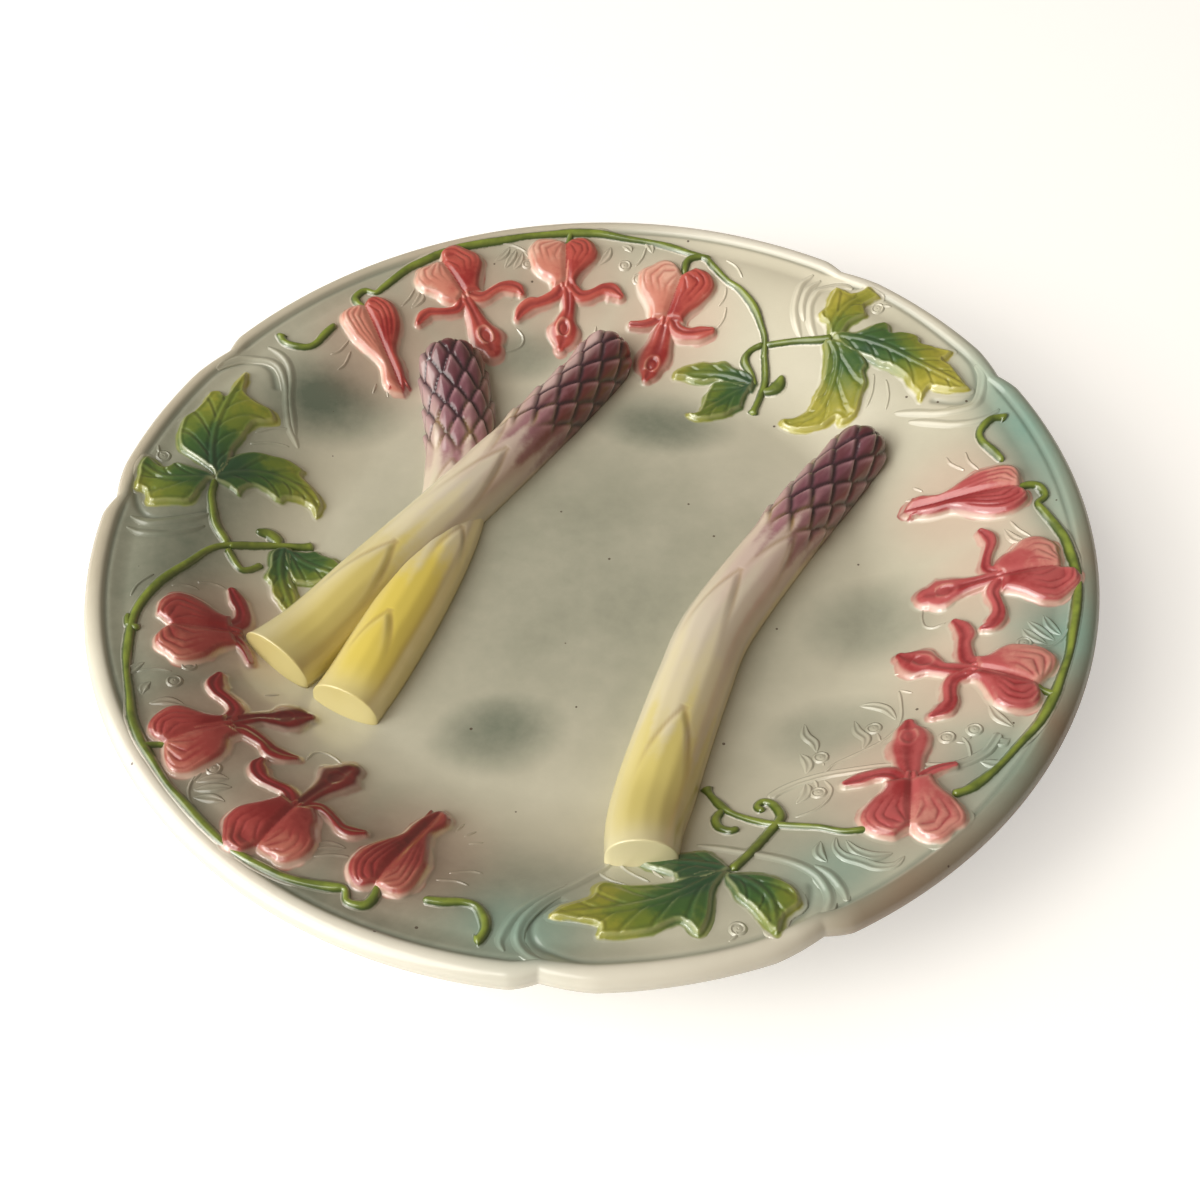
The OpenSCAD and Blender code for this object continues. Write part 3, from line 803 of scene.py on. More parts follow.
@dataclass(frozen=True)
class Spear:
    """An asparagus spear with a cut end, bracts on its stalk and a scaly purple head.

    Rows hold x, y, width and height.
    """

    dish: Dish
    node: str
    rows: Sequence[Row]
    head: float
    yellow: float
    purple: float
    streaky: bool
    bracts: Sequence[Bract]
    fringe: float = 0.2
    cut_slant: float = 1.3
    tip_len: float = 9.0
    scale_w: float = 5.2
    scale_len: float = 10.4
    lengthwise: int = 330
    crosswise: int = 56
    sunk: float = 0.6

    def line(self) -> tuple[Array, Array]:
        """The rows at even steps along the spear, and the distance of each from the cut end."""
        dense = curve(self.rows, 24)
        run = runs(dense)
        t = np.linspace(0.0, 1.0, self.lengthwise)
        places = run[-1] * (1.0 - (1.0 - t) ** 1.25)
        return np.stack([np.interp(places, run, dense[:, k]) for k in range(4)], axis=1), places

    def scale_reach(self, t: Array) -> Array:
        """Half the width of a scale at a distance below its pointed tip."""
        share = np.clip(t / (0.9 * self.scale_len), 0.0, 1.0)
        return 0.53 * self.scale_w * (1.0 - (1.0 - share) ** 1.9)

    def scales(self, s: Array, q: Array, start: float) -> tuple[Array, Array, Array]:
        """The pointed scales of the head, each laid over the one above it.

        Args:
            s: Distance from the cut end.
            q: Distance round the surface from its crest, in millimetres.
            start: Where the last scale ends.

        Returns:
            The height, the shadow under each edge, which is both cut in and painted dark, and the pale edge
            itself, a painted highlight.
        """
        pitch = self.scale_len / 2
        first = np.ceil((s - start) / pitch)
        up = np.zeros(s.shape)
        shadow = np.zeros(s.shape)
        pale = np.zeros(s.shape)
        open_yet = np.ones(s.shape, bool)
        for step in (0, 1, 2):
            row = first + step
            t = start + row * pitch - s
            shift = np.where(row % 2 == 0, 0.0, 0.5) * self.scale_w
            dq = np.abs(q - shift - np.round((q - shift) / self.scale_w) * self.scale_w)
            edge = self.scale_reach(t) - dq
            own = open_yet & (edge > 0)
            rise = 0.85 * ramp(edge / 1.1) * (1.0 - 0.8 * ramp(t / (1.1 * self.scale_len)))
            lift = rise + 0.16 * bell(dq, 0.5)
            up = np.where(own, lift, up)
            tip_side = 1.0 - ramp(t / (0.8 * self.scale_len))
            pale = np.where(own, (0.9 * bell(edge - 0.95, 0.4) + 0.5 * bell(dq, 0.35)) * tip_side, pale)
            shadow = np.where(open_yet & ~own, np.maximum(shadow, bell(edge, 0.55)), shadow)
            shadow = np.where(own, np.maximum(shadow, bell(edge, 0.42)), shadow)
            open_yet &= ~own
        return up, shadow, pale

    def relief(self, s: Array, b: Array, width: Array, whole: float) -> Fields:
        """Height of the scales and bracts, which dips under their edges, with a painted shadow there and a
        painted highlight on the edges.

        Args:
            s: Distance from the cut end.
            b: Place across the surface, from -1 to 1.
            width: Width of the spear there.
            whole: The spear's length.

        Returns:
            The fields at each corner.
        """
        q = b * width * 0.62
        slip = self.head + (9.0 * np.abs(b - 0.3) if self.streaky else 5.0 * np.abs(b))
        on_head = ramp((s - slip) / 7.0)
        up, shadow, pale = self.scales(s, q, whole + 2.0)
        up, shadow, pale = up * on_head, shadow * on_head, pale * on_head
        for bract in self.bracts:
            t = np.clip((s - bract.start) / (bract.end - bract.start), 0.0, 1.0)
            reach = bract.half * (1.0 - t**3.2) * width / 2
            off = reach - np.abs(q - bract.across * width / 2)
            present = (s >= bract.start) & (s <= bract.end + 0.8)
            grow = ramp((t - 0.35) / 0.5)
            up = up + np.where(present & (off > 0), 0.46 * grow * ramp(off / 1.1), 0.0)
            pale = np.maximum(pale, np.where(present, 0.32 * grow * bell(off - 1.0, 0.6), 0.0))
            shadow = np.maximum(shadow, np.where(present, 0.46 * grow * bell(off + 0.3, 0.45), 0.0))
        up = up - 0.3 * shadow
        ribs = 0.05 * np.cos(2 * math.pi * q / 2.9) * ramp((self.head - s) / 8.0) * ramp(s / 8.0)
        streak = np.sin(5.1 * q / width * math.pi + 0.6) + 0.6 * np.sin(11.3 * q / width * math.pi + 1.9)
        lit_from = -0.12 if self.streaky else 0.15
        return {
            "height": up + ribs,
            # Painted shadow under the edges of scales and bracts.
            "pool_and_shadow": shadow,
            "rim": pale,
            "streak": streak,
            # Painted highlight on the flank toward the lamps, and painted shade on the flank away from
            # them.
            "lit": (0.9 if self.streaky else 0.62) * ramp((b - lit_from) / 0.42),
            "shaded_flank": (0.7 if self.streaky else 0.2) * ramp((-0.15 - b) / 0.5),
            # A brown band low on the shaded flank: painted shade, with some pooled glaze.
            "foot": 0.6 * bell(b + 0.62, 0.2),
            "bare": ramp((self.fringe - 1.0 - b) / 0.14),
            "cut": 0.9 * bell(s, 5.5),
        }

    def skin(self, rows: Array, places: Array) -> tuple[Array, Fields]:
        """The visible face of the spear.

        Args:
            rows: The spear's rows.
            places: The distance of each row from the cut end.

        Returns:
            The corners in rows and columns, and the fields at each corner.
        """
        whole = places[-1]
        d = headings(rows)
        near_tip = np.clip((whole - places) / self.tip_len, 0.001, 1.0)
        taper = np.sqrt(np.clip(1.0 - (1.0 - near_tip) ** 2, 0.0, 1.0))
        width, tall = rows[:, 2] * taper, rows[:, 3] * taper**1.1
        b = np.linspace(-1.0, 1.0, self.crosswise)
        phi = b * math.pi / 2
        sx, sz = np.sin(phi), np.cos(phi) ** 0.8
        s2, b2 = np.meshgrid(places, b, indexing="ij")
        fields = {"along": s2, **self.relief(s2, b2, rows[:, 2, None] * np.ones_like(b2), whole)}
        calm = np.clip(taper[:, None] * 1.2, 0.0, 1.0) * ramp((1.0 - np.abs(b2)) / 0.12)
        out = fields.pop("height") * calm
        px = rows[:, 0, None] - d[:, 1, None] * (width[:, None] / 2 * sx + out * sx)
        py = rows[:, 1, None] + d[:, 0, None] * (width[:, None] / 2 * sx + out * sx)
        ground = self.dish.height(rows[:, 0], rows[:, 1])[:, None] * 0.5 + self.dish.height(px, py) * 0.5
        edge_up = np.where(np.abs(b2) > 0.999, -self.sunk, 0.0)
        return np.stack([px, py, ground + tall[:, None] * sz + out * sz + edge_up], axis=-1), fields

    def cap(self, first: Array, ahead: Array) -> Array:
        """Rounds off the cut end.

        Args:
            first: The corners along the cut end's rim.
            ahead: The spear's direction there.

        Returns:
            Corners of the cap, ring by ring.
        """
        b = np.linspace(-1.0, 1.0, self.crosswise)
        low = first[:, 2].min() + self.sunk
        rings = []
        for fall, push in CUT_CAP:
            ring = first.copy()
            ring[:, 2] = low + (first[:, 2] - low) * (1.0 - fall) - self.sunk * (fall == 1.0)
            out_by = push * (0.25 + self.cut_slant * fall) * (1.0 - b**2) + 0.1 * push
            ring[:, :2] -= ahead * out_by[:, None]
            rings.append(ring)
        return np.vstack(rings)

    def build(self) -> Piece:
        """Makes the spear, which stands for its node."""
        rows, places = self.line()
        upper, fields = self.skin(rows, places)
        cap = self.cap(upper[0], headings(rows)[0])
        grid = np.arange(len(rows) * self.crosswise).reshape(-1, self.crosswise)
        rings = np.vstack([grid[0], (grid.size + np.arange(len(cap))).reshape(-1, self.crosswise)])
        faces = [
            faces_of(grid),
            faces_of(rings)[:, FLIPPED],
            faces_of(grid[:, [-1, 0]]),
            folded(rings[-1])[:, ::-1],
            np.roll(faces_of(rings[:, [0, -1]]), -1, axis=1),
            folded(grid[-1]),
        ]
        tail = np.zeros(len(cap))
        values = {key: np.concatenate([numbers.ravel(), tail]) for key, numbers in fields.items()}
        values["cut"][-len(cap):] = 1.0
        points = np.vstack([upper.reshape(-1, 3), cap])
        piece = write_mesh("sculpted_" + self.node, points, np.vstack(faces), values)
        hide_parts(self.node)
        return piece


@dataclass(frozen=True)
class Patch:
    """A cloud of teal or blue in the cream glaze."""

    x: float
    y: float
    rx: float
    ry: float
    strength: float
    turn: float = 0.0
    tone: str = "teal"


@dataclass(frozen=True)
class Painting:
    """Where colour is laid on the plain ground of the plate, with a white and a brown on the edge that are
    partly glaze and partly painted highlight and painted shade.
    """

    patches: Sequence[Patch]
    rim_teal: Sequence[Row]
    edge_tones: Sequence[Row]
    blush: Sequence[Row]
    rim_line_r: float = 117.2
    band_from: float = 116.5
    teal_from: float = 76.0
    teal_rise: float = 24.0

    @staticmethod
    def round_rim(table: Sequence[Row], column: int, angle: Array) -> Array:
        """A table's value at angles round the rim."""
        rows = np.asarray(table, float)
        return np.interp(angle, rows[:, 0], rows[:, column], period=360.0)

    def fields(self, x: Array, y: Array, nominal: Array | None = None) -> Fields:
        """How much of each colour the glaze holds at points of the plate's plan.

        Args:
            x: Plan x of the points.
            y: Plan y of the points.
            nominal: Radius of the points before the edge is notched, where that differs.

        Returns:
            The share of teal, blue, crimson blush, white and brown at each point; the edge's white and
            brown are partly glaze and partly painted highlight and painted shade.
        """
        clouds = {"teal": np.zeros(x.shape), "blue": np.zeros(x.shape)}
        for patch in self.patches:
            u, v = turned(x - patch.x, y - patch.y, -patch.turn)
            gap = np.hypot(u / patch.rx, v / patch.ry)
            clouds[patch.tone] = np.maximum(clouds[patch.tone], patch.strength * np.exp(-(gap**2.4)))
        r = np.hypot(x, y)
        angle = np.degrees(np.arctan2(y, x)) % 360.0
        ring = ramp((r - self.teal_from) / self.teal_rise) * (1.0 - 0.85 * ramp((r - self.band_from) / 3.0))
        clouds["teal"] = clouds["teal"] + self.round_rim(self.rim_teal, 1, angle) * ring
        blush = np.zeros(x.shape)
        for bx, by, size in self.blush:
            blush = np.maximum(blush, np.exp(-(np.hypot(x - bx, y - by) / size) ** 4))
        # On the edge, the white is partly glaze and partly a painted highlight and reflection where the
        # edge faces the lamps; the brown is partly glaze and partly painted shade where it faces away.
        band = ramp(((r if nominal is None else nominal) - self.rim_line_r) / 1.2)
        white = self.round_rim(self.edge_tones, 1, angle)
        umber_and_shade = self.round_rim(self.edge_tones, 2, angle)
        return {**clouds, "blush": blush, "white": band * white, "umber_and_shade": band * umber_and_shade}


@dataclass(frozen=True)
class DishBody:
    """The turned, notched dish with its painted ground and the grooves drawn round its panels."""

    dish: Dish
    painting: Painting
    panel_lines: dict[Spray, Sequence[Row]]
    panel_half: float = 52.0
    panel_from: float = 80.0
    fine_from: float = 88.0
    groove: float = 0.42
    edge_rows: int = 6
    around: int = 1440

    def rings(self) -> tuple[Array, Array]:
        """Radius and height of each ring, from the middle over the edge to the middle below."""
        d = self.dish
        fine = np.arange(self.fine_from, d.lip_r, 0.42)
        upper = np.concatenate([np.arange(1.0, 60.0, 2.0), np.arange(60.0, self.fine_from, 1.0), fine])
        zero = np.zeros_like(upper)
        edge = np.radians(np.linspace(90.0, -90.0, 15))
        lower = np.array([d.lip_r - 1, d.shoulder_r, 108, 104, 100, 95, 90, 85, 80, 75, 71, 68, 66, 62, 58,
                          40, 20, 1.0])
        radius = np.concatenate([upper, d.lip_r + d.edge_r * np.cos(edge), lower])
        height = np.concatenate([
            d.height(upper, zero),
            d.crest - d.edge_r + d.edge_r * np.sin(edge),
            d.height(lower, 0 * lower) - d.wall,
        ])
        return radius, height

    def carving(self, x: Array, y: Array) -> Array:
        """How deep the grooves are cut at points of the plan."""
        cut = np.zeros(x.shape)
        near_panel = np.zeros(x.shape)
        for spray, rows in self.panel_lines.items():
            u, v = turned(x, y, -spray.value)
            box = (np.abs(u) < self.panel_half) & (v > self.panel_from)
            gap, _, _ = Path(curve(rows, 5)).measure(u[box], v[box])
            cut[box] = np.maximum(cut[box], bell(gap, 0.8))
            near_panel[box] = np.maximum(near_panel[box], ramp((33.0 - np.abs(u[box])) / 4.0))
        r = np.hypot(x, y)
        return np.maximum(cut, bell(r - self.painting.rim_line_r, 0.6) * (1.0 - near_panel))

    def build(self) -> Piece:
        """Makes the dish, which stands for its node."""
        radius, height = self.rings()
        r, a = np.meshgrid(radius, round_steps(self.around), indexing="ij")
        z = np.repeat(height[:, None], self.around, axis=1)
        widest = int(np.argmax(radius))
        x, y = r * np.cos(a), r * np.sin(a)
        cut = np.zeros(r.shape)
        fine = (np.arange(len(radius))[:, None] < widest - self.edge_rows) & (r > self.fine_from)
        cut[fine] = self.carving(x[fine], y[fine])
        z = z - self.groove * cut
        reach = self.dish.notch_reach
        drawn = r - self.dish.notch(np.degrees(a)) * ramp((r - (self.dish.plate_r - reach)) / reach)
        x, y = drawn * np.cos(a), drawn * np.sin(a)
        grid = np.arange(r.size).reshape(r.shape)
        faces = [faces_of(joined(grid))]
        points = np.stack([x, y, z], axis=-1).reshape(-1, 3)
        centres = np.array([[0.0, 0.0, height[0]], [0.0, 0.0, height[-1]]])
        even = np.arange(0, self.around, 2)
        for ring, centre, flip in ((grid[0], len(points), False), (grid[-1], len(points) + 1, True)):
            last = ring[(even + 2) % self.around]
            fan = np.stack([np.full(len(even), centre), ring[even], ring[even + 1], last], axis=1)
            faces.append(fan[:, ::-1] if flip else fan)
        points = np.vstack([points, centres])
        nominal = np.concatenate([r.ravel(), [0.0, 0.0]])
        paint = self.painting.fields(points[:, 0], points[:, 1], nominal)
        row = np.repeat(np.arange(len(radius)), self.around)
        upper = np.concatenate([row < widest, [True, False]])
        for key in ("teal", "blue", "blush"):
            paint[key] = paint[key] * upper
        paint["line"] = np.concatenate([cut.ravel(), [0.0, 0.0]])
        piece = write_mesh("glazed_dish", points, np.vstack(faces), paint)
        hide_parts("plate_body")
        return piece


@dataclass(frozen=True)
class FootRing:
    """The turned ring that the plate stands on, with rounded arrises."""

    dish: Dish
    inset: float = 1.0
    width: float = 6.0
    around: int = 360

    def build(self) -> Piece:
        """Makes the ring, which stands for its node."""
        out = self.dish.well_r - self.inset
        inner = out - self.width
        top = self.dish.foot_h + 0.4
        section = curve([
            (inner - 0.4, top), (inner + 0.25, top - 1.2), (inner + 0.75, 0.7), (inner + 1.4, 0.08),
            (inner + 2.2, 0.0), (out - 2.2, 0.0), (out - 1.4, 0.08), (out - 0.75, 0.7),
            (out - 0.25, top - 1.2), (out + 0.4, top),
        ], 4)
        section[:, 1] = np.maximum(section[:, 1], 0.0)
        angle = round_steps(self.around)
        r = np.repeat(section[:, 0][:, None], self.around, axis=1)
        x, y = r * np.cos(angle), r * np.sin(angle)
        z = np.repeat(section[:, 1][:, None], self.around, axis=1)
        grid = np.arange(r.size).reshape(r.shape)
        quads = faces_of(joined(np.vstack([grid, grid[:1]])))[:, FLIPPED]
        values = {"wear": np.clip(1.0 - z / 0.5, 0.0, 1.0).ravel()}
        piece = write_mesh("turned_foot", np.stack([x, y, z], axis=-1).reshape(-1, 3), quads, values)
        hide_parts("foot_ring")
        return piece


def even_stops(*colours: Colour) -> tuple[tuple[float, Colour], ...]:
    """Colours at even steps from 0 to 1."""
    return tuple((i / (len(colours) - 1), colour) for i, colour in enumerate(colours))


def linear(red: float, green: float, blue: float) -> tuple[float, float, float, float]:
    """A colour written from 0 to 255 as the renderer takes it."""
    parts = [v / 255.0 for v in (red, green, blue)]
    return tuple(v / 12.92 if v <= 0.04045 else ((v + 0.055) / 1.055) ** 2.4 for v in parts) + (1.0,)


class Shader:
    """A material's nodes, built one after another."""

    roughness = 0.3
    ior = 1.5
    coat_roughness = 0.14
    coat_ior = 1.6

    def __init__(self, name: str, coat: float = 1.0) -> None:
        """Starts a glossy material.

        Args:
            name: The material's name.
            coat: Weight of a clear coat over it.
        """
        self.material = bpy.data.materials.new(name)
        self.material.use_nodes = True
        self.nodes = self.material.node_tree.nodes
        self.links = self.material.node_tree.links
        self.surface = self.nodes["Principled BSDF"]
        self.surface.inputs["Roughness"].default_value = self.roughness
        self.surface.inputs["IOR"].default_value = self.ior
        self.surface.inputs["Coat Weight"].default_value = coat
        self.surface.inputs["Coat Roughness"].default_value = self.coat_roughness
        self.surface.inputs["Coat IOR"].default_value = self.coat_ior
        self.place = self.nodes.new("ShaderNodeTexCoord").outputs["Object"]

    def field(self, name: str) -> Socket:
        """A number that the mesh holds at its corners."""
        node = self.nodes.new("ShaderNodeAttribute")
        node.attribute_name = name
        return node.outputs["Fac"]

    def noise(self, scale: float, detail: float = 3.0, roughness: float = 0.5) -> Socket:
        """Clouds of numbers, with scale clouds to the metre."""
        node = self.nodes.new("ShaderNodeTexNoise")
        node.inputs["Scale"].default_value = scale
        node.inputs["Detail"].default_value = detail
        node.inputs["Roughness"].default_value = roughness
        self.links.new(self.place, node.inputs["Vector"])
        return node.outputs["Fac"]

    def sum(self, kind: str, a: Socket | float, b: Socket | float, clamp: bool = False) -> Socket:
        """Joins two numbers by a kind of sum."""
        node = self.nodes.new("ShaderNodeMath")
        node.operation = kind
        node.use_clamp = clamp
        for socket, value in zip(node.inputs, (a, b)):
            if isinstance(value, (int, float)):
                socket.default_value = value
            else:
                self.links.new(value, socket)
        return node.outputs[0]

    def scaled(self, value: Socket, factor: float, offset: float = 0.0, clamp: bool = False) -> Socket:
        """A number times a factor, plus an offset."""
        node = self.nodes.new("ShaderNodeMath")
        node.operation = "MULTIPLY_ADD"
        node.use_clamp = clamp
        self.links.new(value, node.inputs[0])
        node.inputs[1].default_value = factor
        node.inputs[2].default_value = offset
        return node.outputs[0]

    def ramp(self, value: Socket, stops: Sequence[tuple[float, Colour]]) -> Socket:
        """Colours for a number."""
        node = self.nodes.new("ShaderNodeValToRGB")
        node.color_ramp.interpolation = "EASE"
        elements = node.color_ramp.elements
        while len(elements) < len(stops):
            elements.new(0.5)
        for element, (position, colour) in zip(elements, stops):
            element.position = position
            element.color = linear(*colour)
        self.links.new(value, node.inputs["Fac"])
        return node.outputs["Color"]

    def mix(self, amount: Socket | float, a: Socket | Colour, b: Socket | Colour) -> Socket:
        """Goes from colour a to colour b."""
        node = self.nodes.new("ShaderNodeMix")
        node.data_type = "RGBA"
        node.clamp_factor = True
        for socket, value in zip((node.inputs[0], node.inputs[6], node.inputs[7]), (amount, a, b)):
            if isinstance(value, tuple):
                socket.default_value = linear(*value)
            elif isinstance(value, (int, float)):
                socket.default_value = value
            else:
                self.links.new(value, socket)
        return node.outputs[2]

    def over(self, colour: Socket, name: str, strength: Socket | float, paint: Socket | Colour) -> Socket:
        """Lays paint on a colour where a field of the mesh says so.

        Args:
            colour: The colour below.
            name: The field's name.
            strength: What the field is multiplied by.
            paint: The colour laid on.

        Returns:
            The painted colour.
        """
        return self.mix(self.sum("MULTIPLY", self.field(name), strength), colour, paint)

    def brushed(self, clouds: Socket, wash: float, low: float, brush: float,
                stops: Sequence[tuple[float, Colour]]) -> Socket:
        """Colours for the mesh's tint, uneven as if laid with a brush.

        Args:
            clouds: Soft clouds that shift the tint.
            wash: How much they shift it.
            low: Where that shift starts.
            brush: Scale of the brush's fine marks.
            stops: Places and colours of the ramp.

        Returns:
            The colour.
        """
        tint = self.sum("ADD", self.field("tint"), self.scaled(clouds, wash, low))
        marks = self.scaled(self.noise(brush, 2.0, 0.7), 0.16, -0.08)
        return self.ramp(self.sum("ADD", tint, marks), stops)

    def bump(self, height: Socket, depth: float) -> None:
        """Lets the glaze ripple by a depth in metres."""
        node = self.nodes.new("ShaderNodeBump")
        node.inputs["Distance"].default_value = depth
        node.inputs["Strength"].default_value = 1.0
        self.links.new(height, node.inputs["Height"])
        self.links.new(node.outputs["Normal"], self.surface.inputs["Normal"])

    def finish(self, colour: Socket, roughness: Socket | None = None) -> bpy.types.Material:
        """Sets the colour, and the roughness if it varies, and gives the material."""
        self.links.new(colour, self.surface.inputs["Base Color"])
        if roughness:
            self.links.new(roughness, self.surface.inputs["Roughness"])
        return self.material


@dataclass(frozen=True)
class GroundGlaze:
    """The cream majolica glaze with its teal clouds, the pools in the grooves and its specks, and on the
    edge a white and a brown that are partly painted highlight and painted shade.
    """

    cream: Colour = (230, 225, 206)
    shade: Colour = (212, 207, 186)
    teal: Colour = (96, 108, 93)
    line: Colour = (84, 100, 90)
    # White and brown for the edge: partly glaze, partly painted highlight and painted shade.
    white: Colour = (250, 247, 238)
    umber_and_shade: Colour = (118, 82, 54)
    blue: Colour = (124, 160, 148)
    blush: Colour = (216, 150, 134)
    speck: Colour = (70, 52, 40)

    def colour(self, shader: Shader) -> Socket:
        """The painted ground's colour, the same on every piece that shows it."""
        clouds = shader.noise(38.0, 4.0, 0.55)
        colour = shader.mix(clouds, self.cream, self.shade)
        # The edge's white and brown: partly glaze, partly painted highlight and painted shade.
        colour = shader.mix(shader.field("white"), colour, self.white)
        colour = shader.mix(shader.field("umber_and_shade"), colour, self.umber_and_shade)
        mottle = shader.noise(240.0, 3.0, 0.7)
        drift = shader.sum("ADD", shader.scaled(clouds, 0.7, 0.52), shader.scaled(mottle, 0.25))
        colour = shader.over(colour, "teal", drift, self.teal)
        colour = shader.over(colour, "blue", drift, self.blue)
        return shader.over(colour, "blush", 0.24, self.blush)

    def dress(self) -> bpy.types.Material:
        """Builds the material."""
        shader = Shader("cream_glaze")
        colour = shader.over(self.colour(shader), "line", 0.45, self.line)
        colour = shader.over(colour, "foot", 0.28, self.line)
        dots = shader.nodes.new("ShaderNodeTexVoronoi")
        dots.inputs["Scale"].default_value = 120.0
        shader.links.new(shader.place, dots.inputs["Vector"])
        dot = shader.sum("LESS_THAN", dots.outputs["Distance"], 0.045)
        chosen = shader.nodes.new("ShaderNodeSeparateColor")
        shader.links.new(dots.outputs["Color"], chosen.inputs["Color"])
        dot = shader.sum("MULTIPLY", dot, shader.sum("GREATER_THAN", chosen.outputs[0], 0.45))
        colour = shader.mix(shader.sum("MULTIPLY", dot, 0.85), colour, self.speck)
        shader.bump(shader.scaled(shader.noise(420.0, 3.0, 0.6), 0.06), 0.0006)
        return shader.finish(colour, shader.scaled(shader.noise(38.0, 2.0, 0.5), 0.16, 0.29))


def painted_to(shader: Shader, colour: Socket, spill: float) -> Socket:
    """Ends a painted colour at its relief's outline, a little unevenly, and shows the ground beyond.

    Args:
        shader: The material's nodes.
        colour: The painted colour.
        spill: How far the paint runs over the outline, in millimetres.

    Returns:
        The colour with the ground beyond the paint.
    """
    hand = shader.scaled(shader.noise(330.0, 2.0, 0.5), 1.1, -0.55 - spill)
    hand = shader.sum("ADD", hand, shader.scaled(shader.noise(95.0, 2.0, 0.5), 3.0, -1.5))
    beyond = shader.scaled(shader.sum("ADD", shader.field("edge"), hand), 1.9, 0.2, True)
    return shader.mix(beyond, colour, GroundGlaze().colour(shader))


@dataclass(frozen=True)
class PetalGlaze:
    """Crimson glaze that runs thin and pale over the edges and pools dark in the grooves."""

    name: str
    stops: Sequence[tuple[float, Colour]]
    pale: Colour = (224, 202, 184)
    pool_and_shadow_tone: Colour = (118, 28, 38)

    def dress(self) -> bpy.types.Material:
        """Builds the material."""
        shader = Shader(self.name)
        clouds = shader.noise(120.0, 3.0, 0.6)
        colour = shader.brushed(clouds, 0.5, -0.25, 700.0, self.stops)
        colour = shader.over(colour, "rim", shader.scaled(clouds, 0.9, 0.25), self.pale)
        colour = shader.over(colour, "pool_and_shadow", 0.6, self.pool_and_shadow_tone)
        return shader.finish(painted_to(shader, colour, 0.1), shader.scaled(clouds, 0.14, 0.29))


@dataclass(frozen=True)
class LeafGlaze:
    """Green glaze that goes from teal at the stalk to olive yellow at the tips."""

    stops: Sequence[tuple[float, Colour]] = even_stops(
        (32, 74, 44), (54, 92, 38), (104, 122, 38), (144, 144, 44), (176, 168, 62))
    pale: Colour = (206, 204, 150)
    pool_and_shadow_tone: Colour = (34, 66, 38)

    def dress(self) -> bpy.types.Material:
        """Builds the material."""
        shader = Shader("leaf_glaze")
        clouds = shader.noise(110.0, 3.0, 0.6)
        colour = shader.brushed(clouds, 0.55, -0.27, 600.0, self.stops)
        colour = shader.over(colour, "rim", 0.42, self.pale)
        colour = shader.over(colour, "pool_and_shadow", 0.6, self.pool_and_shadow_tone)
        return shader.finish(painted_to(shader, colour, 0.2), shader.scaled(clouds, 0.14, 0.29))


@dataclass(frozen=True)
class VineGlaze:
    """Olive green glaze, paler on the crown of a stalk, where it thins and a highlight is painted, darker
    on its sides, and stopping short of its foot.
    """

    side: Colour = (60, 80, 26)
    crown: Colour = (132, 148, 56)

    def dress(self) -> bpy.types.Material:
        """Builds the material."""
        shader = Shader("vine_glaze")
        clouds = shader.noise(160.0, 3.0, 0.6)
        brush = shader.noise(700.0, 2.0, 0.7)
        height = shader.field("rim")
        # Paler crown, thinner glaze with a painted highlight, against darker sides.
        crown = shader.scaled(height, 1.5, -0.5, True)
        amount = shader.sum("MULTIPLY", crown, shader.scaled(clouds, 2.6, -0.6, True), True)
        green = shader.mix(amount, self.side, self.crown)
        bare = shader.sum("ADD", shader.scaled(height, -6.0, 1.3), shader.scaled(brush, 1.4, -0.7), True)
        return shader.finish(shader.mix(bare, green, GroundGlaze().colour(shader)))


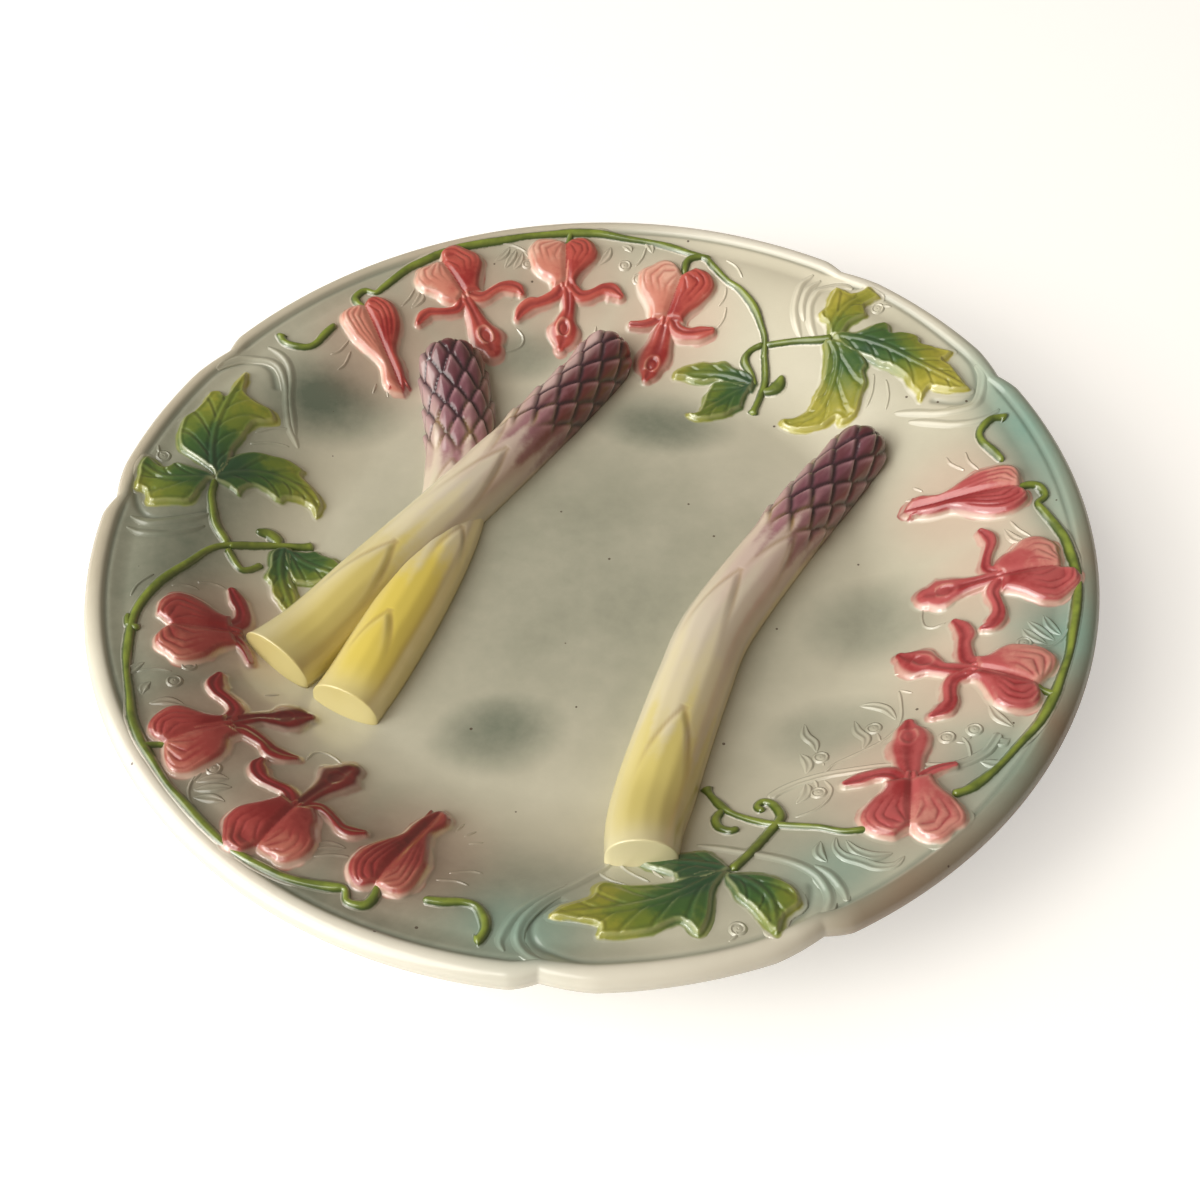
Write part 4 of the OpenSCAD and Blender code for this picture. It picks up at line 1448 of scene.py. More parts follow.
@dataclass(frozen=True)
class SpearGlaze:
    """The glazes of a spear: yellow at the cut end, then cream, then the purple head, with light and shade
    painted on its flanks, scales and bracts.
    """

    name: str
    length: float
    yellow_end: float
    purple_start: float
    yellow: Colour
    head: Colour
    cut_pale: float
    cream: Colour = (216, 206, 172)
    middle: Colour = (210, 200, 182)
    flush: Colour = (204, 184, 174)
    mauve: Colour = (150, 104, 114)
    tip: Colour = (88, 34, 46)
    # Painted light and shade: paler colours for the flank toward the lamps, a pale highlight on the edges,
    # dark shadow under scale and bract edges, and dark maroon on the head's flank away from the lamps.
    lit: tuple[Colour, Colour] = ((236, 228, 196), (208, 182, 178))
    edge: tuple[Colour, Colour] = ((226, 216, 186), (196, 156, 164))
    pool_and_shadow_tone: tuple[Colour, Colour] = ((158, 128, 84), (50, 20, 36))
    shaded_flank: Colour = (104, 22, 26)
    cut: Colour = (226, 218, 176)
    # Brown for the shaded flank: painted shade, with some pooled glaze.
    foot: Colour = (158, 124, 74)
    bare: Colour = (236, 222, 168)

    def dress(self) -> bpy.types.Material:
        """Builds the material."""
        shader = Shader(self.name)
        clouds = shader.noise(60.0, 3.0, 0.6)
        fine = shader.noise(300.0, 3.0, 0.7)
        wander = shader.sum("ADD", shader.scaled(clouds, 0.14, -0.07), shader.scaled(fine, 0.07, -0.035))
        flame = shader.scaled(shader.field("streak"), 0.035)
        share = shader.sum("ADD", shader.sum("DIVIDE", shader.field("along"), self.length), wander)
        share = shader.sum("ADD", share, flame)
        yellow, purple = self.yellow_end / self.length, self.purple_start / self.length
        colour = shader.ramp(share, (
            (0.0, self.yellow), (yellow * 0.7, self.yellow), (yellow + 0.04, self.cream),
            ((yellow + purple) / 2, self.middle), (purple - 0.03, self.flush),
            (purple + 0.05, self.mauve), (min(purple + 0.16, 0.9), self.head), (1.0, self.tip)))
        on_head = shader.scaled(share, 8.0, -8.0 * (purple - 0.02), True)
        # Painted highlight on the flank toward the lamps, then painted shade on the flank away from them
        # and under the edges.
        lit = shader.sum("MULTIPLY", shader.field("lit"), shader.scaled(clouds, 0.8, 0.5), True)
        lit = shader.sum("MULTIPLY", lit, shader.scaled(on_head, 0.4, 0.6))
        colour = shader.mix(lit, colour, shader.mix(on_head, *self.lit))
        colour = shader.over(colour, "shaded_flank", on_head, self.shaded_flank)
        colour = shader.over(colour, "rim", 0.65, shader.mix(on_head, *self.edge))
        colour = shader.over(colour, "pool_and_shadow", 1.1, shader.mix(on_head, *self.pool_and_shadow_tone))
        colour = shader.over(colour, "cut", self.cut_pale, self.cut)
        # Brown painted shade low on the shaded flank, with some pooled glaze.
        foot = shader.sum("MULTIPLY", shader.field("foot"), shader.scaled(clouds, 0.8, 0.3), True)
        foot = shader.sum("MULTIPLY", foot, shader.scaled(on_head, -0.55, 0.8))
        colour = shader.mix(foot, colour, self.foot)
        bare = shader.sum("MULTIPLY", shader.field("bare"), shader.scaled(clouds, 0.9, 0.3), True)
        bare = shader.sum("MULTIPLY", bare, shader.scaled(on_head, -0.9, 1.0))
        colour = shader.mix(bare, colour, self.bare)
        return shader.finish(colour, shader.scaled(clouds, 0.14, 0.29))


@dataclass(frozen=True)
class FootGlaze:
    """Cream glaze that is wiped off the face the plate stands on."""

    glaze: tuple[Colour, Colour] = ((205, 195, 170), (188, 174, 146))
    clay: tuple[Colour, Colour] = ((198, 172, 136), (170, 142, 110))

    def dress(self) -> bpy.types.Material:
        """Builds the material."""
        shader = Shader("foot_glaze", 0.1)
        clouds = shader.noise(90.0, 4.0, 0.6)
        glazed = shader.mix(clouds, *self.glaze)
        clay = shader.mix(clouds, *self.clay)
        worn = shader.sum("MULTIPLY", shader.field("wear"), shader.scaled(clouds, 1.4, 0.2), True)
        return shader.finish(shader.mix(worn, glazed, clay), shader.scaled(worn, 0.4, 0.29))


PANEL_LINE = [(-29, 106), (-28, 109), (-25, 113), (-18, 116), (-10, 117.3), (0, 117.5), (10, 116.8),
              (20, 115.3), (25, 112.5), (28.5, 109), (29, 105), (27, 102), (22, 99.5)]
PANEL_LINES = {
    Spray.TOP: PANEL_LINE,
    Spray.RIGHT: PANEL_LINE,
    Spray.LEFT: [(-22, 95), (-24, 96), (-28, 99), (-31, 103), (-31.5, 107), (-29, 111), (-25, 114),
                 (-18, 116.3), (-10, 117.3), (0, 117.5), (10, 117), (20, 115.6), (25, 113), (28, 109.5),
                 (28.5, 106), (27, 102.5), (23, 99.5)],
}

BORDERS = {
    Spray.TOP: [
        [(-22, 113.6), (-25, 112), (-28, 108), (-28, 105), (-26, 101), (-22, 97.5), (-17, 95)],
        [(-31, 110), (-31, 105), (-28, 100), (-24, 97)],
        [(-34, 110), (-34, 106), (-32, 102), (-29, 98), (-25, 95), (-21, 93)],
        [(22, 115.2), (26, 114), (30, 109), (31.5, 105), (30, 101.5), (26, 97.5), (21, 94.5), (16, 91.5)],
        [(37, 108), (37, 104), (35, 100), (31, 96.5), (26, 94), (21, 91.5)],
    ],
    Spray.RIGHT: [
        [(-35, 111.5), (-35, 108), (-33.5, 104), (-31, 101)],
        [(-26, 114.6), (-30, 113), (-32, 109), (-31, 104), (-28, 100), (-23, 96), (-15, 91), (-9, 87.5)],
        [(26, 114.4), (30, 112), (32, 108), (31, 104), (28, 100.5), (24, 97.5), (17, 94), (11, 90),
         (10, 88)],
        [(35, 110), (35.5, 107), (33, 103), (30, 100), (25, 97), (20, 94.5)],
    ],
    Spray.LEFT: [
        [(-37, 109), (-37, 105), (-35, 100), (-31, 96), (-27, 93.5)],
        [(-33.5, 110), (-33.5, 105), (-31, 101), (-27, 97), (-23, 94.5)],
        [(21, 115.8), (24, 115), (28, 112), (30, 107), (30, 103), (28, 100), (24, 97), (19, 94.5),
         (14, 91.5), (11, 88.5), (9.5, 87)],
        [(35, 108), (33.5, 103), (31, 99.5), (27, 97), (22, 95), (16, 91.5), (12, 89)],
    ],
}

BIG_LEAF_TOP = [
    LeafLobe([(-15, 97.5), (-18, 99.5), (-21, 99.8), (-22.5, 100.8), (-22.5, 103.5), (-23.6, 105.4),
              (-25, 108.5), (-26, 110.6), (-23.6, 111.5), (-21, 112), (-19.3, 114.7), (-19, 116.2),
              (-16.5, 116.3), (-13.6, 115.8), (-14.8, 111.5), (-13.2, 110), (-11.8, 108.6), (-12.5, 106),
              (-13, 103.5), (-12.5, 101.4), (-12.5, 99)],
             [(-15.3, 98), (-17.5, 104), (-18, 110), (-17, 115)]),
    LeafLobe([(-14.5, 98), (-13, 101), (-10, 102.5), (-8.6, 105.3), (-8, 108), (-6.4, 110.4), (-4.5, 110.3),
              (-2.5, 108.8), (-1, 110.5), (1.5, 112.2), (4.3, 112.9), (6, 111.5), (9, 112.8), (12, 113.8),
              (14.5, 114.5), (15, 112), (14.8, 110.8), (17.9, 110.8), (21, 109.7), (24.6, 108.5),
              (27, 107.8), (25.7, 105.4), (23.5, 103.5), (20, 101.8), (18.8, 101.1), (19.6, 97.4),
              (17.5, 98), (14, 98.8), (10.7, 100), (5.5, 100.2), (3, 99.2), (-0.5, 98.8), (-8, 97)],
             [(-14.5, 98), (-8, 101.5), (0, 104), (10, 105.3), (25, 107)]),
    LeafLobe([(-15.5, 96.5), (-14.3, 95), (-11.5, 93), (-9, 90), (-6.8, 86.9), (-5.5, 83.6), (-4.3, 80.8),
              (-4, 78.5), (-5.4, 75.4), (-7.3, 73.3), (-6, 71.5), (-3, 72), (-0.4, 73.6), (1.8, 75.8),
              (3.6, 78.6), (4.3, 81.9), (6.5, 81.5), (8, 84), (8, 86.5), (6.5, 89), (5, 91.5), (3.5, 94),
              (0.7, 95.8), (-0.5, 98), (-8, 99.5)],
             [(-14.5, 97), (-8, 94), (-3, 87), (-1, 80), (-4.5, 74)]),
]
BIG_LEAF_RIGHT = [
    LeafLobe([(-14, 97.5), (-14, 99), (-20, 101), (-25, 105), (-26, 110), (-22, 112.5), (-20, 116),
              (-18.5, 116.3), (-16, 110), (-13.5, 106), (-13, 103.5), (-12, 100)],
             [(-13, 98.5), (-18, 104), (-20, 109), (-19.3, 115)]),
    LeafLobe([(-14, 98.5), (-11, 101), (-9, 104), (-7, 110), (-4, 113.5), (-2, 110.5), (0, 109.5), (5, 111),
              (10, 111), (16, 110), (15.5, 107.5), (20, 105.5), (25, 103.5), (22, 101), (16, 99.5),
              (14.5, 96.5), (12, 95.3), (7, 97.5), (-2, 98.5), (-8, 96.5)],
             [(-13.5, 98), (-6, 101), (2, 103.5), (12, 104), (23, 103.3)]),
    LeafLobe([(-14.5, 98), (-14, 97), (-12, 93), (-10, 90.5), (-3, 89.8), (4.5, 90), (3, 92.5), (0.5, 94.5),
              (-2, 97), (-2, 99), (-8, 99.5)],
             [(-13.5, 97.5), (-8, 94.5), (-3, 92.5), (3, 91)]),
]
BIG_LEAF_LEFT = [
    LeafLobe([(-14, 97.5), (-14, 99), (-18, 99.3), (-23, 99.5), (-26, 104), (-28, 108), (-25, 111),
              (-25, 113.5), (-21, 115), (-18, 116.3), (-14.5, 116), (-15.5, 112), (-15, 110), (-13, 109),
              (-12.5, 105), (-11.5, 99)],
             [(-12.5, 98.5), (-17, 104), (-19, 109), (-18, 115)]),
    LeafLobe([(-13, 98.5), (-11, 100), (-10, 104), (-8.5, 110), (-5, 113), (-1, 114.5), (2, 115), (5, 114),
              (9, 113.5), (13, 113.5), (14.5, 111), (13.5, 109), (18, 109), (23.5, 108.5), (21, 106.5),
              (17, 105), (15.5, 101), (15.5, 97), (13, 94.5), (10.5, 96.5), (8.5, 98.5), (3, 98.5),
              (-2, 98.8), (-8, 97)],
             [(-12.5, 98.5), (-5, 103), (3, 106), (12, 107.5), (21, 108)]),
    LeafLobe([(-13.5, 98.5), (-13, 94.5), (-13.5, 91.5), (-12, 91.5), (-9, 90), (-8.5, 87), (-9, 83),
              (-7, 82), (-5.5, 79), (-6, 76), (-8, 73.5), (-4, 73.5), (-1, 76), (1, 79.5), (2, 82),
              (4, 82.5), (4.5, 87), (3, 91), (1, 95), (-3, 98), (-8, 99.5)],
             [(-12, 98), (-7, 94), (-3, 88), (-2, 81), (-5.5, 74.5)]),
]
SMALL_LEAF = [
    LeafLobe([(-20, 74), (-21.8, 76.9), (-25, 77.5), (-28.9, 75.8), (-32.5, 75), (-34, 73), (-37, 71),
              (-38.5, 68.5), (-40, 66), (-40.4, 63.3), (-39, 62), (-36.5, 64), (-34, 65), (-31, 67.5),
              (-29, 69.5), (-25, 71)],
             [(-20.5, 75.5), (-27, 73.5), (-33, 69.5), (-39.5, 63)]),
    LeafLobe([(-21, 76.5), (-26, 73), (-30, 69), (-29.5, 66.5), (-28.5, 64), (-27, 62), (-25, 58.3),
              (-26.5, 56), (-25.5, 55.3), (-23, 56), (-21, 58), (-20, 60), (-18.6, 62.9), (-18.5, 66),
              (-18, 68.5), (-19.4, 70.4), (-20.5, 73.5)],
             [(-21, 75.5), (-23, 70), (-23.5, 64), (-24, 57)]),
]

TAIL = [(-107, -4), (-106, -8), (-104.5, -12), (-104.5, -15), (-106.5, -17.5), (-109, -19), (-111.5, -18.8),
        (-112.5, -18, 1.7)]
MAIN_END = [(-70, 88.5), (-76, 85), (-82, 80.5), (-88, 76), (-93, 70.5), (-97, 65), (-101, 59), (-104, 53),
            (-107, 47), (-110, 40), (-111.5, 34), (-112, 30), (-112.5, 25), (-112, 20), (-111, 15),
            (-110.5, 12), (-113, 10), (-112.5, 6.5), (-110, 5.5), (-107, 6)]
THIRD_STALK = [(-94, 70), (-92, 67.5), (-91, 65.5)]
VINES = {
    Spray.TOP: [
        [(-27.5, 85.4), (-22, 91), (-16.5, 95.5), (-14, 98)],
        [(-24.5, 82.5), (-28.5, 86.5), (-32, 88.5), (-38, 91), (-45, 92), (-50, 91.5), (-56, 92),
         (-60, 92.5), (-65, 90.5)] + MAIN_END,
        TAIL, THIRD_STALK,
        [(-59, 93.5), (-62, 91.5), (-63, 88), (-60, 84)],
        [(-28, 85.5), (-29.5, 82), (-28.5, 79), (-24, 77.5), (-21, 76)],
        [(-26, 84), (-20, 79), (-17.5, 75), (-15.5, 71), (-14.5, 69, 1.4)],
        [(-18.6, 75.4, 0.8), (-16.6, 77.4, 1.5), (-16, 80, 1.6), (-17.4, 82.8, 0.6)],
    ],
    Spray.RIGHT: [
        [(-14, 98), (-20, 93), (-26, 87), (-28.5, 84), (-28, 79.5), (-26, 77.8), (-24.5, 79), (-25.5, 81)],
        [(-46, 94.5), (-39.5, 93.5), (-35, 90.5), (-29, 87.5), (-24, 84.5), (-19, 79.5), (-17, 76),
         (-15.5, 72), (-15, 69.5, 1.5)],
        [(-17, 77.5), (-15, 80), (-15, 83), (-17, 85), (-19, 84.5)],
        [(-64, 90), (-67, 89.6)] + MAIN_END,
        TAIL, THIRD_STALK,
    ],
    Spray.LEFT: [
        [(-12, 98.5), (-17, 97), (-21, 94.5), (-25, 91.5), (-27.5, 88), (-29, 86.5)],
        [(-25, 82), (-29, 86.5), (-33, 89), (-40, 90.5), (-48, 92.5), (-56, 93), (-62, 92)] + MAIN_END,
        TAIL, THIRD_STALK,
        [(-61, 94), (-64, 92), (-64, 89)],
        [(-30, 86), (-33.5, 81), (-32.5, 79), (-29, 77.5)],
        [(-29.2, 86.3), (-25.1, 82), (-21, 77), (-18, 72), (-16.5, 70, 1.4)],
        [(-21.6, 76.8, 0.8), (-19.8, 78.4, 1.5), (-19.3, 81, 1.6), (-20.8, 83.6, 0.6)],
    ],
}

STEM = [(-79, 76.5), (-77, 78.6), (-74.5, 80.7), (-70, 82.2), (-66, 82.3), (-62, 81), (-58, 79),
        (-54, 77.3), (-50, 76), (-46, 75), (-42, 74.2), (-38, 74), (-34, 74.4), (-30, 75.6), (-27.8, 77)]
NEAR_STEM = [
    [(-41, 73.6), (-44, 71.3), (-50, 69.9), (-55, 68.7), (-59, 66.6), (-61.6, 63.2), (-63.1, 58.5),
     (-64, 54.2)],
    [(-41.8, 70.8), (-41.9, 69.6)], [(-55.3, 68.4), (-55.5, 65.4)],
    [(-38.4, 77.6), (-38.6, 75.6), (-38.2, 74.2)],
    [(-31.2, 85.4), (-35.5, 84.7), (-38.9, 82.8), (-41, 79.4), (-40.5, 75.6)],
    [(-70.8, 82), (-71.6, 78), (-71.2, 75)],
    [(-71.2, 77), (-69.5, 76)], [(-71.4, 76.5), (-73, 75.8)],
]
NEAR_STEM_LEAFLETS = [
    [(-37.4, 71.8), (-38.6, 69.6), (-38.6, 67.4), (-37.9, 65.1)],
    [(-41.5, 65.8), (-41.8, 62.8), (-40.6, 59.8), (-41.2, 56.5)],
    [(-51.2, 69), (-52.8, 66.1), (-51.8, 62.8), (-52.2, 59.2)],
    [(-60.5, 63), (-59.7, 58.8), (-57.4, 56.2), (-54.6, 54.9)],
    [(-32.7, 80.9), (-35.2, 79), (-36.2, 77), (-36.5, 74.9)],
    [(-49.6, 103), (-47, 104.7), (-43.6, 104.2), (-40.3, 102), (-37.6, 100.2), (-36.6, 97.5),
     (-37.4, 94.7)],
    [(-47.5, 101.6), (-43.6, 101.6), (-40.4, 99.5), (-39.2, 96.1)],
    [(-33.8, 100.9), (-32.8, 98), (-34.1, 94.7)],
]
NEAR_STEM_BERRIES = [(-41.9, 67.8), (-55.3, 63.5), (-38.1, 79.2)]
SPRIGS = [
    [(-105, 50), (-102, 53.6), (-99, 55.3), (-96, 55.6)], [(-98, 55.5), (-94.6, 54.6)],
    [(-105.5, 22), (-103.5, 18.5), (-102.5, 15)],
]
SPRIG_LEAFLETS = [
    [(-99.7, 54), (-97.6, 50.6), (-95.8, 46.8)], [(-97.6, 54.6), (-95, 51.4), (-94, 48.6)],
    [(-101.5, 53), (-100.2, 49.6), (-99.8, 46.2)],
    [(-80.8, 78.3), (-78.8, 79), (-76.8, 78.4)], [(-78, 84.4), (-75.2, 84.2), (-72.4, 82.8)],
    [(-104.5, 23.5), (-101.6, 21), (-100.6, 17)],
    [(-82.5, 75.5), (-80.2, 72), (-79.6, 68)],
]
SPRIG_BERRIES = [(-92.9, 53), (-74.3, 73.9), (-68.2, 73.9)]
HALF_SPRIGS = [
    [(-75.5, 83), (-73, 79.5), (-72, 76)], [(-44, 86), (-42, 83), (-41.5, 80)],
    [(-48.5, 90), (-46.5, 87.5), (-45.8, 84.5)],
    [(-56, 96.5), (-52, 96.8), (-47.5, 95.2)],
]
HAIRS = [
    [(-66.4, 56.4), (-64.2, 54)], [(-69.6, 46.6), (-68.2, 44.4)], [(-72, 46), (-71.6, 43.2)],
    [(-67.2, 49.4), (-64.6, 48.4)],
    [(-80, 38.2), (-77, 38.2), (-75.4, 36.4), (-75.8, 33.2), (-77, 31)], [(-85.6, -3), (-82.8, -4.6)],
    [(-84.8, -0.6), (-81.6, -1.2)],
    [(-87.4, -5), (-85.6, -7.6)], [(-98, -5.6), (-95.6, -9.4), (-95.2, -12)],
    [(-101, -4), (-99.6, -8), (-99.8, -11)],
]
PANEL_SPRIGS = [[(-9.5, 116), (-11.5, 114.5), (-11, 112)], [(0, 96.5), (2.5, 92), (3.5, 88)],
                [(3, 97), (6.5, 93), (8.5, 89)],
                [(7, 97.5), (11, 94.5), (13.5, 91)]]
PANEL_BERRIES = [(-12, 113.2)]

PATCHES = (
    Patch(-58, 65, 18, 12, 0.72), Patch(-5, 80, 14, 8, 0.7), Patch(27, 48, 21, 12, 0.85, -20),
    Patch(-28, -45, 20, 14, 0.85),
    Patch(3, 2, 24, 20, 0.45), Patch(-15, 22, 12, 14, 0.5), Patch(62, -30, 22, 16, 0.6),
    Patch(45, -60, 18, 12, 0.55),
    # The second cloud on the next line covers the whole well: partly a grey-teal veil in the glaze, partly
    # painted shade that keeps the well darker than the slope.
    Patch(-48, -62, 22, 12, 0.35), Patch(-6, -4, 78, 74, 0.58),
    Patch(115, 10, 9, 42, 0.9, 0, "blue"), Patch(101, -50, 13, 24, 1.0, -25, "blue"),
    Patch(70, -88, 22, 11, 0.75, 40, "blue"),
    Patch(-32, -104, 12, 9, 0.7, -18, "blue"), Patch(34, -104, 12, 9, 0.6, 18, "blue"),
)
RIM_TEAL = ((0, 0.25), (15, 0.1), (30, 0.22), (45, 0.0), (60, 0.0), (75, 0.25), (90, 0.42), (120, 0.5),
            (135, 0.45), (150, 0.6), (165, 0.7), (180, 0.7), (210, 0.7), (240, 0.75), (255, 0.65),
            (270, 0.3), (285, 0.4), (300, 0.3), (315, 0.2), (330, 0.1), (345, 0.1))
# Angle round the rim, then how much white and how much brown the edge takes: partly glaze, partly a painted
# highlight toward the lamps and painted shade away from them.
EDGE_GLAZE_AND_LIGHT = ((5, 0.0, 0.45), (20, 0.2, 0.1), (30, 0.4, 0.0), (50, 0.7, 0.0), (65, 0.7, 0.0),
              (80, 0.1, 0.1), (105, 0.0, 0.25), (125, 0.0, 0.25), (150, 0.0, 0.35), (175, 0.0, 0.3),
              (190, 0.3, 0.0), (207, 0.6, 0.0), (245, 0.6, 0.0), (258, 0.5, 0.0), (281, 0.3, 0.15),
              (288, 0.0, 0.75), (300, 0.0, 0.85), (315, 0.0, 0.95), (335, 0.0, 0.95), (350, 0.0, 0.7))

PETAL_LOOKS = {
    Spray.TOP: (0.34, 0.72, 0.0, 1.0),
    Spray.RIGHT: (0.36, 0.56, 0.0, 0.5),
    Spray.LEFT: (0.36, 0.54, 1.0, 0.2),
}
PETAL_STOPS = {
    Spray.TOP: even_stops((100, 10, 14), (150, 34, 34), (186, 80, 70), (210, 134, 116), (228, 180, 160)),
    Spray.RIGHT: even_stops((96, 6, 18), (148, 32, 40), (182, 82, 84), (208, 140, 128), (228, 190, 170)),
    # The left spray's crimson is darker and browner than the others, partly painted shade for the slope it
    # lies on, which turns away from the light.
    Spray.LEFT: even_stops((84, 2, 8), (128, 20, 26), (154, 56, 54), (180, 102, 88), (212, 166, 142)),
}
LARGE_LEAVES = {
    Spray.TOP: (BIG_LEAF_TOP, (-3, 101.5), 20.0),
    Spray.RIGHT: (BIG_LEAF_RIGHT, (-8, 100), 33.0),
    Spray.LEFT: (BIG_LEAF_LEFT, (-8, 100), 33.0),
}
STALK_WIDTH = 0.88
STALK_HEIGHT = 1.15
BORDER_WIDTH = 1.1
BORDER_HEIGHT = 0.5
HALO_AT = 0.42
HALO_R = 18.0


@dataclass
class AsparagusPlate:
    """The whole plate: its dish and everything moulded on it."""

    dish: Dish
    pieces: list[Piece] = field(default_factory=list)

    def keep(self, piece: Piece, material: bpy.types.Material) -> None:
        """Dresses a piece and notes it."""
        piece.data.materials.append(material)
        self.pieces.append(piece)

    def flowers(self) -> list[Flower]:
        """The bud and three flowers of each spray."""
        found = []
        for spray in Spray:
            word = spray.word
            dark, light, depth, ring = PETAL_LOOKS[spray]
            look = {"tints": (dark, light), "depth": depth, "ring": ring}
            fourth = ((-52, 97), -110) if spray is Spray.RIGHT else ((-60, 84), -62)
            bud_a = -4 if spray is Spray.LEFT else -14
            found += [
                Flower(self.dish, f"bud_{word}", BUD, spray, (-109.5, 6.5), bud_a, **look),
                Flower(self.dish, f"flower_second_{word}", SECOND, spray, (-109.5, 34), -9, **look),
                Flower(self.dish, f"flower_third_{word}", THIRD, spray, (-91.8, 66.3), -41, **look),
                Flower(self.dish, f"flower_fourth_{word}", FOURTH, spray, *fourth,
                       tongue=spray is not Spray.LEFT, **look),
            ]
        return found

    def spears(self) -> list[tuple[Spear, SpearGlaze]]:
        """The three spears with their glazes."""
        under = Spear(
            self.dish, "spear_under",
            [(-64, -33, 17.5, 8.2), (-56, -21, 18, 9.2), (-46, -4, 18, 8.5), (-37, 14, 18, 7),
             (-32, 28, 18, 5.2), (-29, 42, 18.4, 5.4), (-27, 56, 19, 8), (-26.7, 72, 18.6, 9.5),
             (-27, 84, 18, 9.5)],
            82, 52, 84, False, (Bract(1, 25, 0.05, 0.46), Bract(36, 58, -0.5, 0.4),
                                Bract(58, 82, 0.1, 0.5)), 0.5)
        over = Spear(
            self.dish, "spear_over",
            [(-79, -18.5, 19.6, 8.6), (-60, 0, 18.8, 9.8), (-34, 24, 17.2, 10), (-13.7, 43.5, 16.6, 10),
             (5.5, 62.5, 15.6, 10), (21.5, 79.5, 14.8, 9.6)],
            88, 48, 88, True, (Bract(4, 42, -0.1, 0.6), Bract(40, 84, -0.25, 0.55),
                               Bract(62, 92, 0.4, 0.45)), 0.08)
        right = Spear(
            self.dish, "spear_right",
            [(-3.5, -90, 16, 8.8), (-1, -80, 17.6, 9.8), (2.7, -71, 18.6, 10), (8.5, -59, 18.4, 10),
             (18, -41, 18, 10), (27, -26, 17.6, 10), (46, -5, 16.6, 10), (65.5, 14.5, 15.6, 10),
             (81, 27.5, 14.8, 9.6)],
            98, 40, 98, False, (Bract(4, 40, -0.14, 0.55), Bract(44, 84, 0.1, 0.5),
                                Bract(70, 102, -0.4, 0.45)))
        looks = (
            (under, 124.0, (222, 202, 92), (112, 62, 78), 0.55),
            (over, 140.0, (208, 192, 112), (98, 40, 50), 0.3),
            (right, 146.0, (212, 198, 118), (112, 62, 78), 0.95),
        )
        found = []
        for spear, length, *look in looks:
            name = spear.node.replace("spear", "spear_glaze")
            found.append((spear, SpearGlaze(name, length, spear.yellow, spear.purple, *look)))
        return found

    def build(self) -> None:
        """Makes and dresses every piece."""
        painting = Painting(PATCHES, RIM_TEAL, EDGE_GLAZE_AND_LIGHT, self.halos())
        ground = GroundGlaze().dress()
        self.keep(DishBody(self.dish, painting, PANEL_LINES).build(), ground)
        self.keep(FootRing(self.dish).build(), FootGlaze().dress())
        for spear, glaze in self.spears():
            self.keep(spear.build(), glaze.dress())
        petals = {}
        for spray in Spray:
            petals[spray] = PetalGlaze(f"petal_glaze_{spray.word}", PETAL_STOPS[spray]).dress()
        for flower in self.flowers():
            self.keep(flower.build(painting), petals[flower.spray])
        green = LeafGlaze().dress()
        for spray, (lobes, darkest_at, reach) in LARGE_LEAVES.items():
            leaf = Leaf(self.dish, f"large_leaf_{spray.word}", spray, darkest_at, lobes, reach)
            self.keep(leaf.build(painting), green)
            if spray is not Spray.RIGHT:
                leaf = Leaf(self.dish, f"small_leaf_{spray.word}", spray, (-20, 76), SMALL_LEAF, 26.0, 1.5)
                self.keep(leaf.build(painting), green)
        stalk = VineGlaze().dress()
        for spray in Spray:
            vine = Strokes(self.dish, f"sculpted_vine_{spray.word}", spray)
            for rows in VINES[spray]:
                vine.sweep(self.knotted(rows), STALK_WIDTH, STALK_HEIGHT)
            piece = vine.build(painting)
            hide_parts(f"vine_{spray.word}")
            self.keep(piece, stalk)
            border = Strokes(self.dish, f"sculpted_panel_border_{spray.word}", spray)
            for rows in BORDERS[spray]:
                border.sweep(rows, BORDER_WIDTH, BORDER_HEIGHT, SOFT_SECTION, taper=6.0)
            piece = border.build(painting)
            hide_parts(f"panel_border_{spray.word}")
            self.keep(piece, ground)
            self.keep(self.sprigs(spray).build(painting), ground)

    @staticmethod
    def knotted(rows: Sequence[Row]) -> list[list[float]]:
        """Gives a stalk's rows a width that swells and thins along it, as if drawn by hand."""
        return [[x, y, (row[0] if row else 1.0) * (1.0 + 0.16 * math.sin(0.9 * x + 1.3 * y))]
                for x, y, *row in rows]

    def sprigs(self, spray: Spray) -> Strokes:
        """The fine sprigs, berries and hairs that are raised in the plain ground of a spray."""
        found = Strokes(self.dish, f"raised_sprigs_{spray.word}", spray)
        stems = SPRIGS + HAIRS + PANEL_SPRIGS
        leaflets = list(SPRIG_LEAFLETS)
        berries = SPRIG_BERRIES + PANEL_BERRIES
        if spray is Spray.RIGHT:
            stems += NEAR_STEM
            leaflets += NEAR_STEM_LEAFLETS
            berries += NEAR_STEM_BERRIES
            found.sweep(STEM, 0.95, 0.5, LEAFLET_SECTION)
        else:
            stems += HALF_SPRIGS
        for rows in stems:
            found.sweep(rows, 0.42, 0.36, SOFT_SECTION, taper=5.0)
        for rows in leaflets:
            last = len(rows) - 1
            shaped = [[x, y, 0.35 + 0.75 * math.sin(math.pi * i / last)] for i, (x, y) in enumerate(rows)]
            found.sweep(shaped, 0.95, 0.46, LEAFLET_SECTION, taper=2.0)
        for x, y in berries:
            found.berry(x, y, 1.45, 0.44)
        return found

    def halos(self) -> list[Row]:
        """Places, in the plate's plan, where crimson bled into the cream, with their sizes."""
        found = []
        for flower in self.flowers():
            a = math.radians(flower.heading)
            x = flower.at[0] + HALO_AT * flower.length * math.cos(a)
            y = flower.at[1] + HALO_AT * flower.length * math.sin(a)
            found.append((*flower.spray.on_plate(x, y), HALO_R))
        return found


